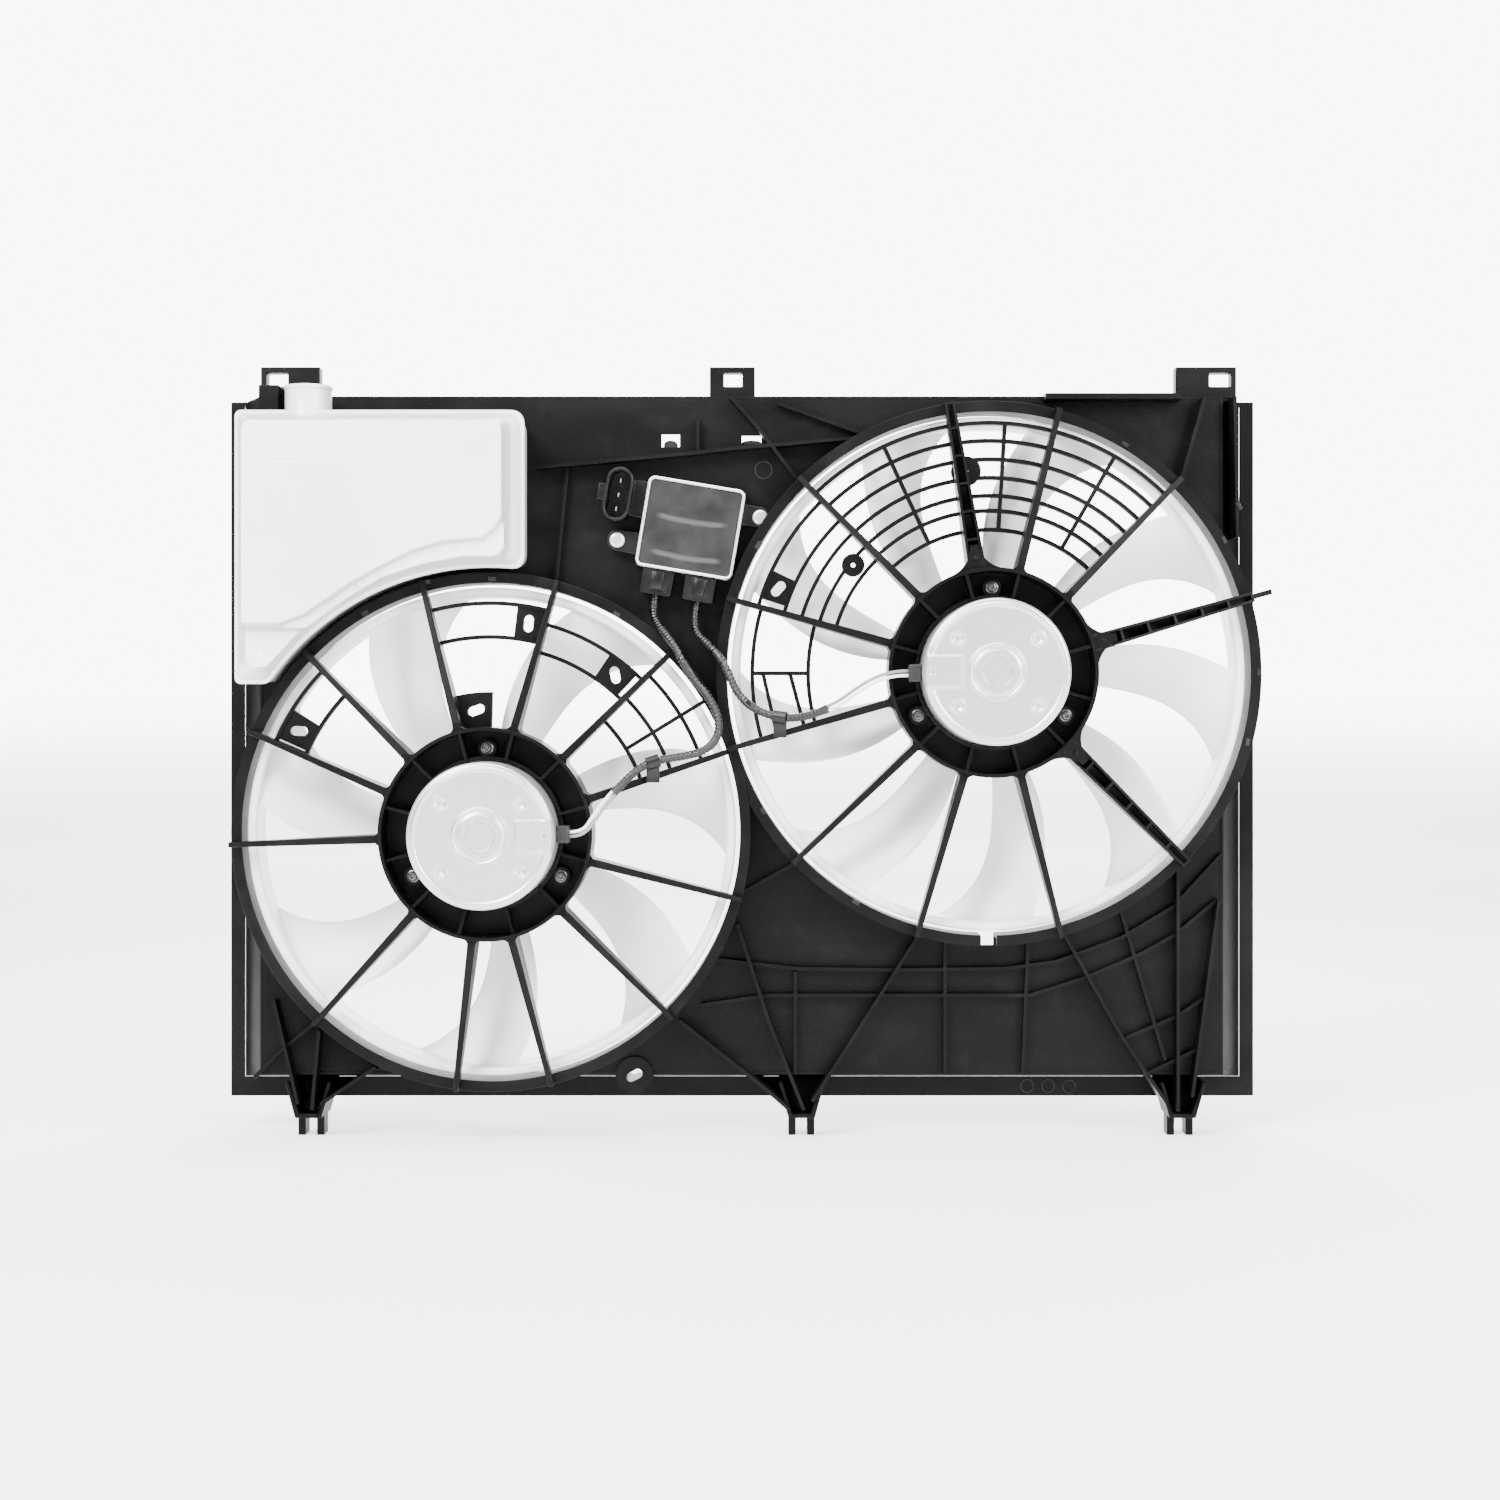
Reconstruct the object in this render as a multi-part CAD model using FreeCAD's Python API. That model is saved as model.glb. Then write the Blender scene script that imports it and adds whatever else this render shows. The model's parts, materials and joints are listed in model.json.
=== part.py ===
import FreeCAD, Part
import math
import os
from collections import namedtuple
from FreeCAD import Vector

# Radiator cooling fan of a passenger car: a moulded shroud with two electric ring fans,
# a coolant reservoir and a control module. Millimetres, +X to the right as seen from the engine,
# +Z up, +Y towards the radiator. The origin is the centre of the face that meets the radiator.
# A depth is a distance from that face towards the engine, so y is minus the depth.

# Shroud shell
SHROUD_WIDTH = 740.0
SHROUD_HEIGHT = 502.0
SHELL_WALL = 2.5
RIM_DEPTH = 12.0
RIM_STRIP_SIDE = 10.0
RIM_STRIP_BOTTOM = 14.0
SLOPE_RUN_SIDE = 18.0
SLOPE_RUN_BOTTOM = 6.0
PANEL_DEPTH = 44.0

# Fan axes and barrels
LEFT_X = -175.3
LEFT_Z = -57.4
RIGHT_X = 173.3
RIGHT_Z = 53.6
LEFT_RING_R = 171.5
RIGHT_RING_R = 180.5
TIP_GAP = 3.0
BARREL_WALL = 2.5
BARREL_DEPTH = 70.0
LIP_WIDTH = 5.0
LIP_THICK = 2.5
DRAIN_WIDTH = 11.0
DRAIN_DROP = 9.0

# Ring fans
LEFT_BLADES = 7
RIGHT_BLADES = 9
LEFT_BLADE_PHASE = 11.0
RIGHT_BLADE_PHASE = -6.0
RING_NEAR = 32.0
RING_FAR = 64.0
RING_WALL = 2.3
RING_LIP = 6.5
RING_LIP_THICK = 2.0
HUB_R = 66.0
HUB_WALL = 2.5
HUB_NEAR = 33.0
HUB_FAR = 66.0
HUB_WEB = 3.0
HUB_BOSS_R = 11.0
HUB_BOSS_FAR = 56.0
HUB_RIBS = 6
HUB_RIB_THICK = 2.2
HUB_RIB_HEIGHT = 14.0
BLADE_THICK = 2.6
BLADE_NEAR = 35.0
BLADE_FAR_HUB = 63.0
BLADE_FAR_TIP = 59.0
BLADE_BOW = 0.1
BLADE_OVERRUN = 0.15
# Low-edge and high-edge angles of a blade's sections, from the hub out
LEFT_BLADE_EDGES = ((0.0, 22.5), (-1.0, 21.5), (-4.5, 17.5), (-9.0, 13.5), (-18.5, 7.0))
RIGHT_BLADE_EDGES = ((0.5, 18.0), (0.0, 18.5), (-3.0, 15.5), (-6.5, 11.0), (-16.0, 6.0))

# Motor mount rings and struts
LEFT_MOUNT_R = 73.5
RIGHT_MOUNT_R = 72.2
MOUNT_WALL = 2.5
MOUNT_NEAR = 72.0
MOUNT_FAR = 107.0
MOUNT_FLOOR_NEAR = 78.0
MOUNT_FLOOR_FAR = 81.0
MOUNT_LIP_FAR = 97.0
MOUNT_RIBS = 12
MOUNT_RIB_THICK = 2.2
MOUNT_RIB_FAR = 100.0
LUG_R = 6.5
LUG_FAR = 92.0
STRUT_WIDTH_RIM = 3.6
STRUT_WIDTH_HUB = 5.6
HEAVY_WIDTH_RIM = 7.0
HEAVY_WIDTH_HUB = 12.0
STRUT_FAR_RIM = 80.0
STRUT_FAR_HUB = 103.0
STRUT_UNDER_HUB = 74.0
CHANNEL_WALL = 1.8
CHANNEL_FLOOR = 4.0
CHANNEL_WEBS = 6
RIGHT_NUB_R = 204.0

# Guard bars between the struts
GUARD_BAR = 2.8
GUARD_NEAR = 72.0
GUARD_FAR = 77.0
GUARD_PLATE_FAR = 76.0
SLOT_LENGTH = 12.0
SLOT_WIDTH = 6.6

# Motors
MOTOR_R = 50.0
MOTOR_GAP = 1.0
CAN_WALL = 2.0
CAN_NEAR = 73.0
CAN_FAR = 128.0
CAP_FAR = 136.0
CAP_WALL = 2.0
BEAD_R = 46.0
BOSS_R = 19.0
BOSS_STEP_R = 14.3
BOSS_DIMPLE_R = 10.0
BOSS_RISE = 2.5
BOSS_SINK = 1.2
BOSS_STEP_RUN = 0.8
BOSS_STEP_DROP = 0.9
BOSS_SKIRT = 1.2
BEAD_HALF = 1.5
BEAD_RISE = 0.6
BEAD_DROP = 0.4
CAP_EDGE_DROP = 3.4
PANEL_HALF_HEIGHT = 11.0
PANEL_INNER_R = 23.0
PANEL_RISE = 1.2
DIMPLE_X = 27.0
DIMPLE_Z = 22.6
DIMPLE_R = 4.0
DIMPLE_DROP = 0.8
EAR_R = 66.0
EAR_WIDTH = 15.0
EAR_THICK = 2.5
SCREW_CIRCLE_R = 59.0
MOTOR_SCREW_R = 2.5
MOTOR_SCREW_HEAD_R = 4.6
MOTOR_SCREW_HEAD = 4.0
SCREW_CLEARANCE = 0.3
MOTOR_SCREW_COUNT = 3
SHAFT_R = 4.0
SHAFT_NEAR = 25.0
SHAFT_FAR = 133.5
SHAFT_RUNNING = 0.05
BEARING_R = 9.0
BEARING_WIDTH = 6.0
SEAT_WALL = 2.0
MAGNET_THICK = 5.0
MAGNET_NEAR = 86.0
MAGNET_FAR = 120.0
MAGNET_COUNT = 4
MAGNET_SPACE = 10.0
ROTOR_GAP = 0.8
CORE_NEAR = 90.0
CORE_FAR = 116.0
CORE_SLOTS = 12
CORE_SLOT_WIDTH = 7.0
CORE_SLOT_DROP = 13.0
WINDING_END = 3.5
WINDING_INSET = 1.5
WINDING_OUTER_INSET = 2.5
COMMUTATOR_R = 12.0
COMMUTATOR_NEAR = 119.8
COMMUTATOR_FAR = 126.0
BRUSH_NEAR = 121.6
BRUSH_FAR = 124.0
BRUSH_GAP = 0.3
BRUSH_LENGTH = 24.7
BRUSH_HALF_WIDTH = 4.0
BRUSH_PLATE_CLEAR = 6.6
NUT_R = 7.0
NUT_THICK = 6.0
GROMMET_LENGTH = 9.0
GROMMET_HEIGHT = 12.0
GROMMET_NEAR = 108.0
GROMMET_FAR = 120.0
GROMMET_SHIFT = 0.6

# Fixing feet and tabs
FOOT_X = (-307.0, 42.5, 312.5)
FOOT_GAP = 8.0
FOOT_PRONG = 5.3
FOOT_BOTTOM = -SHROUD_HEIGHT / 2 - 24.0
FOOT_CROTCH = -SHROUD_HEIGHT / 2 - 10.0
FOOT_NEAR = 22.0
FOOT_FAR = 38.0
FOOT_ROOT_FAR = 50.0
FOOT_SPREAD = 7.0
FOOT_TOP = -SHROUD_HEIGHT / 2 + 15.0
FOOT_WEB = 3.0
TAB_NEAR = 24.0
TAB_FAR = 36.0
TAB_TOP = SHROUD_HEIGHT / 2 + 22.0
TAB_FRAME = 4.0
TAB_WINDOW_DROP = 10.0

# Coolant reservoir
TANK_LEFT = -SHROUD_WIDTH / 2 + 19.0
TANK_RIGHT = -150.0
TANK_BOTTOM = 46.0
TANK_TOP = SHROUD_HEIGHT / 2 - 15.0
TANK_FAR = 110.0
TANK_SEAM = 85.0
TANK_SEAM_THICK = 2.6
TANK_SEAM_LIP = 2.0
TANK_WALL = 2.4
TANK_CORNER = 12.0
TANK_FRONT_ROUND = 11.0
TANK_FAN_GAP = 2.0
TANK_LEG_TOP = TANK_BOTTOM + 85.5
TANK_LEG_RIGHT = TANK_LEFT + 29.0
SEAT_GAP = 0.3
NECK_X = TANK_LEFT + 50.0
NECK_DEPTH = 75.0
NECK_R = 16.4
NECK_WALL = 2.2
NECK_TOP = TANK_TOP + 20.0
CLIP_X = (TANK_LEFT + 11.0, TANK_LEFT + 25.0)
CLIP_TOP = SHROUD_HEIGHT / 2 + 6.0
CLIP_THICK = 4.0
CLIP_FAR = 60.0

# Control module, given from its own centre before it is tilted
MODULE_X = -35.8
MODULE_Z = 156.0
MODULE_TILT = -9.5
MODULE_WIDTH = 69.0
MODULE_HEIGHT = 64.0
BASE_FAR = 54.0
TRAY_FAR = 66.0
TRAY_WALL = 2.0
TRAY_CORNER = 5.0
POTTING_DROP = 1.6
BOARD_THICK = 1.6
BOARD_GAP = 2.0
SOCKET_U = -54.0
SOCKET_V = 15.0
SOCKET_WIDTH = 19.0
SOCKET_HEIGHT = 38.0
SOCKET_FAR = 68.0
SOCKET_WALL = 2.0
SOCKET_FLOOR = 4.0
SOCKET_BRIDGE_INSET = 6.0
LOCK_REACH = 5.0
LOCK_HALF_HEIGHT = 6.0
LOCK_DROP = 4.0
PIN_COUNT = 3
PIN_PITCH = 10.0
PIN_WIDTH = 2.8
PIN_THICK = 0.8
PIN_FAR = 60.0
MODULE_SCREWS = ((-50.0, -16.5), (47.0, 16.0))
MODULE_LUG_R = 7.5
MODULE_SCREW_R = 2.5
MODULE_SCREW_HEAD_R = 5.5
MODULE_SCREW_HEAD = 3.6
MODULE_SCREW_ROUND = 2.0
MODULE_SCREW_PAST = 1.0
PLUG_U = (-17.0, 13.0)
PLUG_WIDTH = 22.0
PLUG_HEIGHT = 18.0
PLUG_NEAR = 46.0
PLUG_FAR = 63.0
PLUG_CORNER = 2.0
LATCH_HALF_WIDTH = 4.0
LATCH_TOP_INSET = 2.0
LATCH_LOW_INSET = 4.0
LATCH_RISE = 2.5

# Wiring
SLEEVE_R = 2.8
LEAD_R = 1.1
LEAD_SPLIT = 1.5
LEAD_DEPTH = 113.0
CLIP_WALL = 1.8
CLIP_LENGTH = 9.0
CLIP_LEG = 14.0
CLIP_LEG_THICK = 3.0

# Ribs on the engine side of the panel
RIB_THICK = 2.4
RIB_TALL = 14.0
RIB_LOW = 7.0
RIB_SCRAP = 13.0

PART_FOLDER = "parts"
FAR_AWAY = 1000.0
WHOLE = (-FAR_AWAY, FAR_AWAY)
# How far joined shapes run into each other, and cutters past a face
OVERLAP = 1.0

Fan = namedtuple("Fan", "name x z ring_r mount_r blades phase lead_side")
LEFT = Fan("left", LEFT_X, LEFT_Z, LEFT_RING_R, LEFT_MOUNT_R, LEFT_BLADES, LEFT_BLADE_PHASE, 1)
RIGHT = Fan("right", RIGHT_X, RIGHT_Z, RIGHT_RING_R, RIGHT_MOUNT_R, RIGHT_BLADES, RIGHT_BLADE_PHASE, -1)
FANS = (LEFT, RIGHT)

# Struts as angles from +X, counter-clockwise as seen from the engine. Heavy ones are boxed.
STRUTS = {
    "left": (18.75, 44.75, 75.0, 105.2, 135.7, 157.2, 182.7, 227.5, 262.5, 283.7, 314.5, 345.0),
    "right": (16.2, 45.5, 75.2, 98.5, 134.2, 164.0, 196.2, 224.0, 254.5, 285.2, 316.0),
}
HEAVY = {"left": (), "right": (16.2, 98.5, 316.0)}

# Guard arcs as (start strut, end strut, radii), and spokes as (angle, inner radius, outer radius)
GUARD_ARCS = {
    "left": (
        (18.75, 44.75, (155.9, 133.3, 111.4)),
        (44.75, 75.0, (150.3, 130.2)),
        (75.0, 105.2, (160.0, 136.4)),
        (135.7, 157.2, (162.2, 139.2)),
    ),
    "right": (
        (45.5, 75.2, (174.7, 162.2, 149.3, 136.4, 123.9, 113.4, 100.2)),
        (75.2, 98.5, (174.7, 162.2, 149.3, 136.4, 123.9, 113.4, 100.2)),
        (98.5, 134.2, (174.7, 162.2, 149.3, 136.4, 123.9, 113.4, 100.2)),
        (134.2, 164.0, (168.0, 149.4, 136.8, 123.9, 111.8)),
        (164.0, 196.2, (165.6, 126.6)),
    ),
}
GUARD_SPOKES = {
    "left": ((31.5, 111.4, 176.0),),
    "right": ((60.0, 100.2, 174.7), (86.5, 100.2, 174.7), (115.0, 100.2, 174.7), (180.0, 126.6, 165.6)),
}
# Slotted plates as (angle, inner radius, outer radius, half angle, slot tilt from the radius)
GUARD_PLATES = {
    "left": ((51.5, 130.2, 150.3, 4.5, 50.0), (79.5, 136.4, 160.0, 3.5, 5.0),
             (152.0, 139.2, 162.2, 4.0, 25.0)),
    "right": ((158.2, 149.4, 168.0, 3.6, 70.0),),
}
# Round bosses of the guard as (angle, radius from the axis, own radius)
GUARD_BOSSES = {"left": (), "right": ((141.6, 121.5, 8.0), (96.7, 141.9, 10.4))}
GUARD_BOSS_HOLE_R = 1.6
# Slanted bars of the guard as ((x, z), (x, z))
GUARD_TIES = {"left": (), "right": (((15.2, 53.6), (25.1, 10.5)), ((34.0, 53.6), (44.1, 16.1)))}
EAR_PLATE_ANGLE = 96.0
EAR_PLATE_HALF = 7.5
EAR_PLATE_R = 98.0
EAR_PLATE_BACK = 4.0
EAR_SLOT_TILT = 20.0

# Ribs as ((x, z), (x, z), ...) chains, tall ones first
TALL_RIBS = (
    ((-330, -177), (-313, -250)),
    ((-298, -198), (-303, -254)),
    ((-258, -224), (-297, -250)),
    ((-44, -191), (18, -240), (34, -254)),
    ((-3, -123), (19, -191), (44, -254)),
    ((128, -126), (84, -195), (50, -248)),
    ((226, -127), (268, -202), (300, -249)),
    ((308, -83), (308, -255)),
    ((337, -106), (328, -172), (318, -245)),
    ((-146, 199), (-37, 209), (-2, 213), (23, 215), (90, 221)),
    ((-8, 249), (12, 227), (42, 187)),
    ((327, 249), (310, 190)),
    ((348, 249), (350, 150)),
)
LOW_RIBS = (
    ((-304, -195), (-326, -213), (-346, -233)),
    ((267, -109), (300, -220)),
    ((144, -132), (144, -230)),
    ((203, -132), (199, -230)),
    ((38, -157), (38, -230)),
    ((-24, -148), (39, -155), (106, -156), (187, -155), (223, -150), (269, -133), (306, -111), (340, -74)),
    ((-29, -181), (19, -174), (92, -174), (204, -174), (242, -162), (282, -145), (307, -131), (337, -106)),
    ((272, -204), (308, -189), (327, -176)),
    ((286, -230), (323, -212)),
    ((-8, -106), (46, -76)),
    ((26, 245), (88, 223)),
    ((-123, 201), (-131, 118)),
    ((-31, 234), (-31, 211)),
)
HOOD_X = (214.0, 310.0)
HOOD_FAR = 62.0
HOOD_THICK = 4.0
SNAP_WINDOWS = (((-57.0, -44.0), (215.0, 224.0)), ((0.0, 14.0), (217.0, 223.0)))
BOSS_X = -76.0
BOSS_Z = -SHROUD_HEIGHT / 2 + 20.0
BOSS_OUTER_R = 13.2
BOSS_FAR = 48.0
BOSS_SLOT_TILT = 28.0

# Wiring routes as (x, z, depth), after the exit from the plug
LEFT_ROUTE = (
    (-61.5, 93, 60), (-57.5, 86.5, 68), (-52, 80, 76.5), (-45.5, 72, 85), (-40, 61, 88.5), (-32.5, 49.5, 88),
    (-22, 37, 88), (-15, 22, 88), (-16, 8, 89), (-26, -1, 92), (-40, -4, 95), (-54, -6, 97),
    (-67, -10, 99), (-78, -19, 102), (-87, -29, 106),
)
RIGHT_ROUTE = (
    (-31, 81, 63), (-23, 74, 73), (-14, 64, 81), (-8, 52, 85), (-3, 40, 86), (7, 30, 88),
    (20, 24, 91), (34, 22, 94), (48, 24, 98), (60, 29, 103),
)
PLUG_RUN = {"left": 8.0, "right": 14.0}
LEFT_LEADS = ((-100, -46, LEAD_DEPTH),)
RIGHT_LEADS = ((79, 41, 110), (92, 49, LEAD_DEPTH))
LEAD_RUN = 8.5
LEAD_START = 0.3
CLIP_RUNS = {"left": (13, 14), "right": (8, 9)}


def at(x, z, depth):
    """Point at x and z, a depth from the radiator face."""
    return Vector(x, -depth, z)


def polar(fan, r, angle):
    """x and z at a radius and an angle about a fan's axis."""
    turn = math.radians(angle)
    return fan.x + r * math.cos(turn), fan.z + r * math.sin(turn)


def prism(outline, near, far):
    """Solid of a straight-sided outline of (x, z) points between two depths."""
    points = [at(x, z, near) for x, z in outline]
    face = Part.Face(Part.makePolygon(points + points[:1]))
    return face.extrude(Vector(0, near - far, 0))


def block(x_range, z_range, near, far):
    """Box between two x, two z and two depths."""
    corner = Vector(x_range[0], -far, z_range[0])
    return Part.makeBox(x_range[1] - x_range[0], far - near, z_range[1] - z_range[0], corner)


def disc(x, z, r, near, far):
    """Cylinder along the depth."""
    return Part.makeCylinder(r, far - near, at(x, z, near), Vector(0, -1, 0))


def tube(x, z, r_out, r_in, near, far):
    """Ring with a square section."""
    return disc(x, z, r_out, near, far).cut(disc(x, z, r_in, near, far))


def run_outline(start, end, width):
    """Corners of a straight bar of a width between two points."""
    (x0, z0), (x1, z1) = start, end
    length = math.hypot(x1 - x0, z1 - z0)
    dx, dz = -(z1 - z0) / length * width / 2, (x1 - x0) / length * width / 2
    return [(x0 + dx, z0 + dz), (x1 + dx, z1 + dz), (x1 - dx, z1 - dz), (x0 - dx, z0 - dz)]


def parted(shape, zones):
    """A hollow shape as separate solids that meet face to face at the borders of (x range, z range) zones."""
    pieces = [shape.common(block(xs, zs, -OVERLAP, FAR_AWAY)) for xs, zs in zones]
    return Part.makeCompound([solid for piece in pieces for solid in piece.Solids])


def fused(shapes):
    """One shape of several that touch or cross."""
    return shapes[0].multiFuse(shapes[1:]) if len(shapes) > 1 else shapes[0]


def turned(shape, x, z, angle):
    """A copy turned counter-clockwise, as seen from the engine, about a point."""
    copy = shape.copy()
    copy.rotate(at(x, z, 0), Vector(0, 1, 0), -angle)
    return copy


def around(fan, shape, count, phase=0.0):
    """Copies of a shape evenly spaced about a fan's axis."""
    return [turned(shape, fan.x, fan.z, phase + 360.0 * k / count) for k in range(count)]


def wedge(fan, start, end, reach, near, far):
    """Solid between two angles about a fan's axis, out past a radius."""
    steps = max(2, math.ceil((end - start) / 30.0))
    rim = [polar(fan, 2 * reach, start + (end - start) * k / steps) for k in range(steps + 1)]
    return prism([(fan.x, fan.z)] + rim, near, far)


def slot(x, z, length, width, tilt, near, far):
    """Round-ended slot along the depth, tilted from the x direction."""
    half = (length - width) / 2
    body = block((x - half, x + half), (z - width / 2, z + width / 2), near, far)
    ends = [disc(x + side * half, z, width / 2, near, far) for side in (-1, 1)]
    return turned(fused([body] + ends), x, z, tilt)


def section_loft(sections):
    """Straight-sided solid through closed outlines of points."""
    wires = [Part.makePolygon(points + points[:1]) for points in sections]
    return Part.makeLoft(wires, True, True)


def save(name, shape):
    """Write one piece, or a group of separate solids, as NAME.step."""
    solids = shape.Solids
    out = solids[0] if len(solids) == 1 else Part.makeCompound(solids)
    if not out.isValid():
        print("not valid:", name)
    out.exportStep(os.path.join(PART_FOLDER, name + ".step"))
    print(name, len(solids), round(out.Volume))


def barrel_inner(fan):
    return fan.ring_r + TIP_GAP


def barrel_outer(fan):
    return barrel_inner(fan) + BARREL_WALL


def lip_outer(fan):
    return barrel_outer(fan) + LIP_WIDTH


# Shroud shell

def rim_outline(side, bottom, top):
    """Rectangle of the shroud's face, drawn in at the sides, bottom and top."""
    x = SHROUD_WIDTH / 2 - side
    low = bottom - SHROUD_HEIGHT / 2
    high = SHROUD_HEIGHT / 2 - top
    return (-x, x), (low, high)


def funnel(inset):
    """Solid inside the sloped walls, drawn in by an inset."""
    sections = []
    depths = (RIM_DEPTH - SHELL_WALL, PANEL_DEPTH)
    runs = ((0.0, 0.0), (SLOPE_RUN_SIDE, SLOPE_RUN_BOTTOM))
    for depth, (side, bottom) in zip(depths, runs):
        (x0, x1), (z0, z1) = rim_outline(RIM_STRIP_SIDE + side + inset,
                                         RIM_STRIP_BOTTOM + bottom + inset, inset)
        sections.append([at(x0, z0, depth), at(x1, z0, depth), at(x1, z1, depth), at(x0, z1, depth)])
    return section_loft(sections)


def shell_outside():
    """Everything on the radiator side of the shell's engine-side surface."""
    xs, zs = rim_outline(0, 0, 0)
    return fused([block(xs, zs, 0, RIM_DEPTH), funnel(0)])


def shell_holes():
    """Barrel openings, snap windows, slot and screw holes through the shell."""
    holes = [disc(fan.x, fan.z, barrel_inner(fan), -OVERLAP, PANEL_DEPTH + OVERLAP) for fan in FANS]
    holes += [block(xs, zs, 0, PANEL_DEPTH + OVERLAP) for xs, zs in SNAP_WINDOWS]
    holes.append(boss_slot())
    holes.append(drain(-OVERLAP, PANEL_DEPTH + OVERLAP))
    holes += [disc(x, z, MODULE_SCREW_R, 0, PANEL_DEPTH + OVERLAP) for x, z in module_screw_places()]
    return fused(holes)


def drain(near, far):
    """Notch at the foot of the right duct, between two depths."""
    low = RIGHT.z - barrel_inner(RIGHT)
    return block((RIGHT.x - DRAIN_WIDTH / 2, RIGHT.x + DRAIN_WIDTH / 2),
                 (low - DRAIN_DROP, low + BARREL_WALL), near, far)


def boss_slot():
    """Slot of the boss on the lower edge, through the shell."""
    return slot(BOSS_X, BOSS_Z, SLOT_LENGTH, SLOT_WIDTH, BOSS_SLOT_TILT, -OVERLAP, BOSS_FAR + OVERLAP)


def make_rim(holes):
    """Outer wall and flat strip of the shroud, which meet the radiator."""
    xs, zs = rim_outline(0, 0, 0)
    hollow_x, hollow_z = rim_outline(SHELL_WALL, SHELL_WALL, SHELL_WALL)
    inner_x, inner_z = rim_outline(RIM_STRIP_SIDE, RIM_STRIP_BOTTOM, SHELL_WALL)
    rim = block(xs, zs, 0, RIM_DEPTH)
    rim = rim.cut(block(hollow_x, hollow_z, -OVERLAP, RIM_DEPTH - SHELL_WALL))
    rim = rim.cut(block(inner_x, inner_z, -OVERLAP, RIM_DEPTH + OVERLAP)).cut(holes)
    low, high = inner_z
    return parted(rim, [(WHOLE, (-FAR_AWAY, low)), (WHOLE, inner_z), (WHOLE, (high, FAR_AWAY))])


def make_slopes(rim, holes):
    """Sloped side and bottom walls and straight top wall; the bottom one is parted at corners and boss."""
    walls = funnel(0).cut(funnel(SHELL_WALL)).cut(rim).cut(holes)
    (left, right), (low, high) = rim_outline(RIM_STRIP_SIDE + SLOPE_RUN_SIDE + SHELL_WALL,
                                             RIM_STRIP_BOTTOM + SLOPE_RUN_BOTTOM + SHELL_WALL, SHELL_WALL)
    stops = (-FAR_AWAY, left, BOSS_X - BOSS_OUTER_R, BOSS_X + BOSS_OUTER_R, right, FAR_AWAY)
    zones = [(span, (-FAR_AWAY, low)) for span in zip(stops, stops[1:])]
    return parted(walls, zones + [(WHOLE, (low, high)), (WHOLE, (high, FAR_AWAY))])


def make_panel(holes):
    """Panel across the engine side, with the two fan openings."""
    xs, zs = rim_outline(0, 0, 0)
    slab = block(xs, zs, PANEL_DEPTH - SHELL_WALL, PANEL_DEPTH + OVERLAP)
    return funnel(SHELL_WALL).common(slab).cut(holes)


def make_barrel(fan, other, outside):
    """Round duct about one fan, from the shell to its lip."""
    wall = tube(fan.x, fan.z, barrel_outer(fan), barrel_inner(fan), RIM_DEPTH, BARREL_DEPTH)
    lip = tube(fan.x, fan.z, lip_outer(fan), barrel_outer(fan), BARREL_DEPTH - LIP_THICK, BARREL_DEPTH)
    clear_r = barrel_outer(other) if fan is LEFT else lip_outer(other)
    lip = lip.cut(disc(other.x, other.z, clear_r, 0, BARREL_DEPTH + OVERLAP))
    barrel = fused([wall, lip]).cut(outside)
    if fan is RIGHT:
        barrel = barrel.cut(drain(PANEL_DEPTH - OVERLAP, BARREL_DEPTH + OVERLAP))
    return barrel


# Struts, motor mounts and guards

def beam(fan, r_start, r_end, width_start, width_end, near, far):
    """Tapered beam along a fan's +X radius; near and far are (start, end) depths."""
    sections = []
    for k, (r, width) in enumerate(((r_start, width_start), (r_end, width_end))):
        x, low, high = fan.x + r, fan.z - width / 2, fan.z + width / 2
        sections.append([at(x, low, near[k]), at(x, high, near[k]), at(x, high, far[k]), at(x, low, far[k])])
    return section_loft(sections)


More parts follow.
